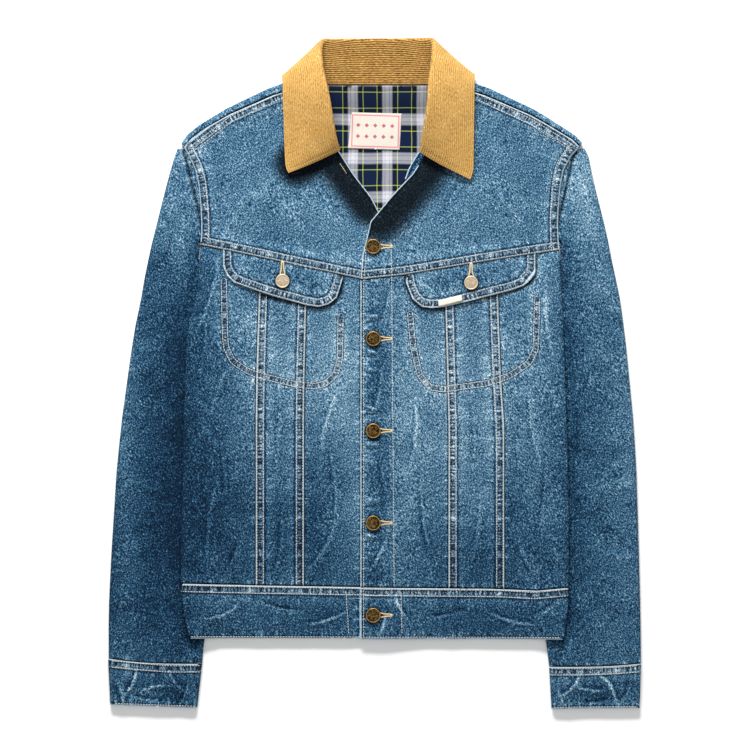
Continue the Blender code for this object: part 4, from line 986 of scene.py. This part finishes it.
def stitches_on(tree, line, pitch, length, on=""):
    """Ends of the stitches along a line, in metres, where they lie on the named cloth."""
    ends = []
    for stop in np.arange(pitch, reached(line)[-1] - pitch, pitch):
        pair = []
        for shift in (-length / 2, length / 2):
            x, y = spots_on(line, stop + shift).tolist()
            pair.append((x * MM, y * MM, ground(tree, x * MM, y * MM, on)))
        if pair[0][2] is not None and pair[1][2] is not None:
            ends.append(pair)
    return ends


def sew(name, ends, finish, width=0.8, rise=0.55):
    """One mesh of many stitches, each a pressed oval between its two ends."""
    stitch = bmesh.new()
    bmesh.ops.create_uvsphere(stitch, u_segments=8, v_segments=5, radius=0.5)
    stitch.verts.index_update()
    shape = np.array([vertex.co[:] for vertex in stitch.verts])
    faces = [[vertex.index for vertex in face.verts] for face in stitch.faces]
    stitch.free()
    points, polygons = [], []
    for start, end in np.array(ends):
        length = np.linalg.norm(end - start)
        way = unit(end - start)
        aside = unit(np.cross((0, 0, 1), way))
        up = np.cross(way, aside)
        across = np.stack([aside * width * MM, up * rise * MM, way * length])
        polygons.extend([len(points) * len(shape) + index for index in face] for face in faces)
        points.append(shape @ across + (start + end) / 2 + up * 0.06 * MM)
    mesh = bpy.data.meshes.new(name)
    mesh.from_pydata(np.concatenate(points).tolist(), [], polygons)
    placed(name, mesh, finish)


# rows of stitches: the cloth they lie on, the line they follow and how far to its left they run
rows = [
    (("front_yoke_left", "front_centre_left", "waistband"), FRONT_EDGE[:4], -3.4),
    (("front_yoke_left", "front_centre_left"), ((22.0, -240), (20.5, -60), (19.6, 60), (18.8, 148)), 0.0),
    (("front_centre_right",), ((-49, 66.6), (-34.6, 65)), 0.0),
    (("front_centre_left",), ((36.4, 66.8), (50, 65.5)), 0.0),
    (("front_side_left",), ((172, 87.5), (185, 86)), 0.0),
    (("waistband",), HEM_LINE, 2.0),
    (("waistband",), ((-31.9, -243), (-28.6, -294)), 0.0),
    (("waistband",), ((29.7, -243), (30.8, -294)), 0.0),
]
for side, left in (("right", 1), ("left", -1)):
    yoke, middle, cuff = (f"front_yoke_{side}",), (f"front_middle_{side}",), (f"cuff_{side}",)
    for apart in (1.3, 8.4):
        rows += [
            (yoke, YOKE_SEAM[side], left * apart),
            (middle, MIDDLE_SEAMS[side][0], -left * apart),
            (middle, MIDDLE_SEAMS[side][1], left * apart),
            (("waistband",), WAIST_SEAM[side], -left * (apart + 0.5)),
            (cuff, CUFF_SEAM[side], left * (apart + 0.5)),
            ((f"pocket_flap_{side}",), FLAP_EDGE[side], left * apart),
        ]
    rows += [(yoke, SHOULDER[side], -left * apart) for apart in (1.5, 7.5)]
    rows += [(yoke, ARMHOLE[side], -left * 8.4), (cuff, CUFF_HEM[side], -left * 2.0)]
    rows += [(("front_side", "front_middle", "front_centre"), POCKET[side], apart) for apart in (0.0, 6.0)]
ends = []
for on, line, aside in rows:
    ends += stitches_on(denim_tree, moved_line(line, aside), PITCH, STITCH, on)
sew("topstitching", ends, thread("cream spun thread", "#CBC8C0"))

# the collar's edge row, found on the collar's own surface
tan = thread("tan spun thread", "#C79A52")
for side in ("right", "left"):
    spots = []
    for u in np.linspace(0.02, 0.30, 60):
        _, roll, edge = collar_section(u if side == "right" else 1 - u)
        spots.append((edge + unit(roll - edge) * EDGE_ROW * MM)[:2] / MM)
    line = np.array(sorted(spots, key=lambda spot: spot[1]))
    ends = stitches_on(collar_tree, line, COLLAR_PITCH, COLLAR_STITCH)
    sew(f"collar_stitching_{side}", ends, tan, width=0.7, rise=0.4)


def buttonhole(x, y, way_x, way_y, tip):
    """Buttonhole worked in close satin stitches: two legs draw together to a bar at its tip."""
    worked = []
    for half in (1, -1):
        leg = np.array([(6.5, 2.7 * half), (9.5, 2.2 * half), (13.0, 1.35 * half), (tip, 0.95 * half)])
        for stop in np.arange(0, reached(leg)[-1], 0.5):
            step = unit(spots_on(leg, stop + 0.2) - spots_on(leg, stop - 0.2))
            over = np.array([-step[1], step[0]]) * LEG_WIDTH / 2
            worked.append((spots_on(leg, stop) - over, spots_on(leg, stop) + over, 0.1 * MM))
    for shift in np.arange(-0.8, 0.9, 0.4):
        worked.append(((tip + shift, -BAR_WIDTH / 2), (tip + shift, BAR_WIDTH / 2), 0.2 * MM))
    pairs = []
    for *spots, rise in worked:
        pair = []
        for along, over in spots:
            spot_x = (x + along * way_x - over * way_y) * MM
            spot_y = (y + along * way_y + over * way_x) * MM
            pair.append((spot_x, spot_y, (ground(denim_tree, spot_x, spot_y) or HIDDEN_LEVEL) + rise))
        pairs.append(pair)
    return pairs


holes = []
for x, y in BUTTONS[:5]:
    holes += buttonhole(x, y, 1, 0, 20.5)
for x, y in BUTTONS[5:]:
    holes += buttonhole(x, y, 0, 1, 21.5)
# the end of a buttonhole on the right lapel, the rest of which is under the collar
lapel_hole = moved_line(((-39.0, 235.5), (-30.5, 222.5)), 0.0)
holes += stitches_on(denim_tree, lapel_hole, 1.5, 1.9, ("front_yoke_right",))
sew("buttonhole_thread", holes, thread("gold spun thread", "#D9BD8B"), width=0.62, rise=0.6)

# ---------------------------------------------------------------- buttons
# Stamped brass jacket buttons, fixed with a rivet. The front ones are dark in the hollows
# and rubbed bright on the rim; those of the flaps are pale all over.
RIBS = 14
# turned section of a button: share of the radius, share of the height, how rubbed it is
SECTION = (
    (0.00, 0.88, 0.40), (0.16, 0.88, 0.38), (0.32, 0.87, 0.34), (0.48, 0.86, 0.36), (0.60, 0.85, 0.32),
    (0.72, 0.83, 0.28), (0.78, 0.81, 0.20), (0.82, 0.83, 0.50), (0.87, 0.88, 0.72), (0.92, 0.89, 0.80),
    (0.96, 0.82, 0.70), (1.00, 0.62, 0.35), (0.97, 0.34, 0.1), (0.86, 0.15, 0.0), (0.45, 0.00, 0.0),
    (0.00, 0.00, 0.0),
)


def button_metal(name, dark, light, roughness):
    """Brass between two shades, by how rubbed it is."""
    made, tree, shader = finish_named(name, roughness, metallic=1.0)
    place = add(tree, "ShaderNodeTexCoord").outputs["Object"]
    proud = add(tree, "ShaderNodeAttribute", attribute_name="proud").outputs["Fac"]
    share = eased(tree, sum_of(tree, proud, (grain(tree, place, 2.4 * MM, 3.0), 0.9)), 0.15, 0.85)
    links = ((0, share), (6, colour(dark)), (7, colour(light)))
    mixed = add(tree, "ShaderNodeMix", links, data_type="RGBA").outputs[2]
    faced(tree, shader, mixed, grain(tree, place, 0.7 * MM), 0.35, 0.25)
    return made


def jacket_button(node, finish):
    """A button turned by its section, with a ring of stamped ribs on its face."""
    low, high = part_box(node)
    centre = (low + high) / 2
    radius, height = (high.x - low.x) / 2, high.z - low.z
    turned = bmesh.new()
    rubbed = turned.verts.layers.float.new("proud")
    profile = []
    for out, up, proud in SECTION:
        vertex = turned.verts.new((out * radius, 0, up * height))
        vertex[rubbed] = proud
        profile.append(vertex)
    edges = [turned.edges.new(pair) for pair in zip(profile[:-1], profile[1:])]
    bmesh.ops.spin(
        turned, geom=[*profile, *edges], cent=(0, 0, 0), axis=(0, 0, 1), angle=2 * pi, steps=84,
        use_merge=True,
    )
    bmesh.ops.remove_doubles(turned, verts=turned.verts, dist=SAME_SPOT)
    bmesh.ops.recalc_face_normals(turned, faces=turned.faces)
    for vertex in turned.verts:
        out = vertex.co.xy.length / radius
        ribbed = bell(out - 0.50, 0.12) if vertex.co.z > height * 0.5 else 0.0
        rib = ribbed * cos(RIBS * np.arctan2(vertex.co.y, vertex.co.x))
        vertex.co.z += height * 0.04 * rib
        vertex[rubbed] += 0.25 * rib
    bmesh.ops.translate(turned, verts=turned.verts, vec=(centre.x, centre.y, low.z))
    made = placed(node + "_metal", meshed(node + "_metal", turned), finish)
    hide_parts(node)


antique = button_metal("antique brass, stamped and oxidised", "#1E160B", "#A3834F", 0.42)
pale = button_metal("pale brass, stamped and worn", "#B3A087", "#E0D1BA", 0.5)
for number in range(1, 6):
    jacket_button(f"button_{number}", antique)
for side in ("right", "left"):
    jacket_button(f"flap_button_{side}", pale)

# ---------------------------------------------------------------- table, light and camera
# A plain white table, a wide soft light from beyond the collar and a weaker one overhead, and
# white all round. The camera looks straight down, as the photo does.
TABLE_LEVEL = -0.0002
VIEW_WIDTH = 0.840
VIEW_CENTRE = (0.00056, -0.00157)
CAMERA_HEIGHT = 4.0
scene = bpy.context.scene
paper, _, paper_shader = finish_named("matt white paper", 0.95, specular=0.0)
paper_shader.inputs["Base Color"].default_value = colour("#FAFAFA")
top = bmesh.new()
bmesh.ops.create_grid(top, x_segments=1, y_segments=1, size=6.0)
table = bpy.data.objects.new("table", meshed("table", top))
table.data.materials.append(paper)
table.location.z = TABLE_LEVEL
scene.collection.objects.link(table)


def soft_light(name, place, target, size, power):
    """A wide lamp that faces its target."""
    lamp = bpy.data.lights.new(name, "AREA")
    lamp.shape = "RECTANGLE"
    lamp.size, lamp.size_y = size
    lamp.energy = power
    made = bpy.data.objects.new(name, lamp)
    made.location = place
    made.rotation_euler = (Vector(target) - Vector(place)).to_track_quat("-Z", "Y").to_euler()
    scene.collection.objects.link(made)


soft_light("key", (-0.30, 2.1, 1.30), (0, 0.1, 0), (1.1, 0.45), 100)
soft_light("overhead", (0.3, -0.3, 2.6), (0, 0, 0), (2.4, 2.4), 18)
world = bpy.data.worlds.new("studio")
world.use_nodes = True
world.node_tree.nodes["Background"].inputs["Color"].default_value = (1.0, 1.0, 1.0, 1.0)
world.node_tree.nodes["Background"].inputs["Strength"].default_value = 0.38
scene.world = world
scene.view_settings.view_transform = "Standard"
camera = bpy.data.cameras.new("camera")
camera.lens = camera.sensor_width * CAMERA_HEIGHT / VIEW_WIDTH
overhead = bpy.data.objects.new("camera", camera)
overhead.location = (*VIEW_CENTRE, CAMERA_HEIGHT)
scene.collection.objects.link(overhead)
scene.camera = overhead
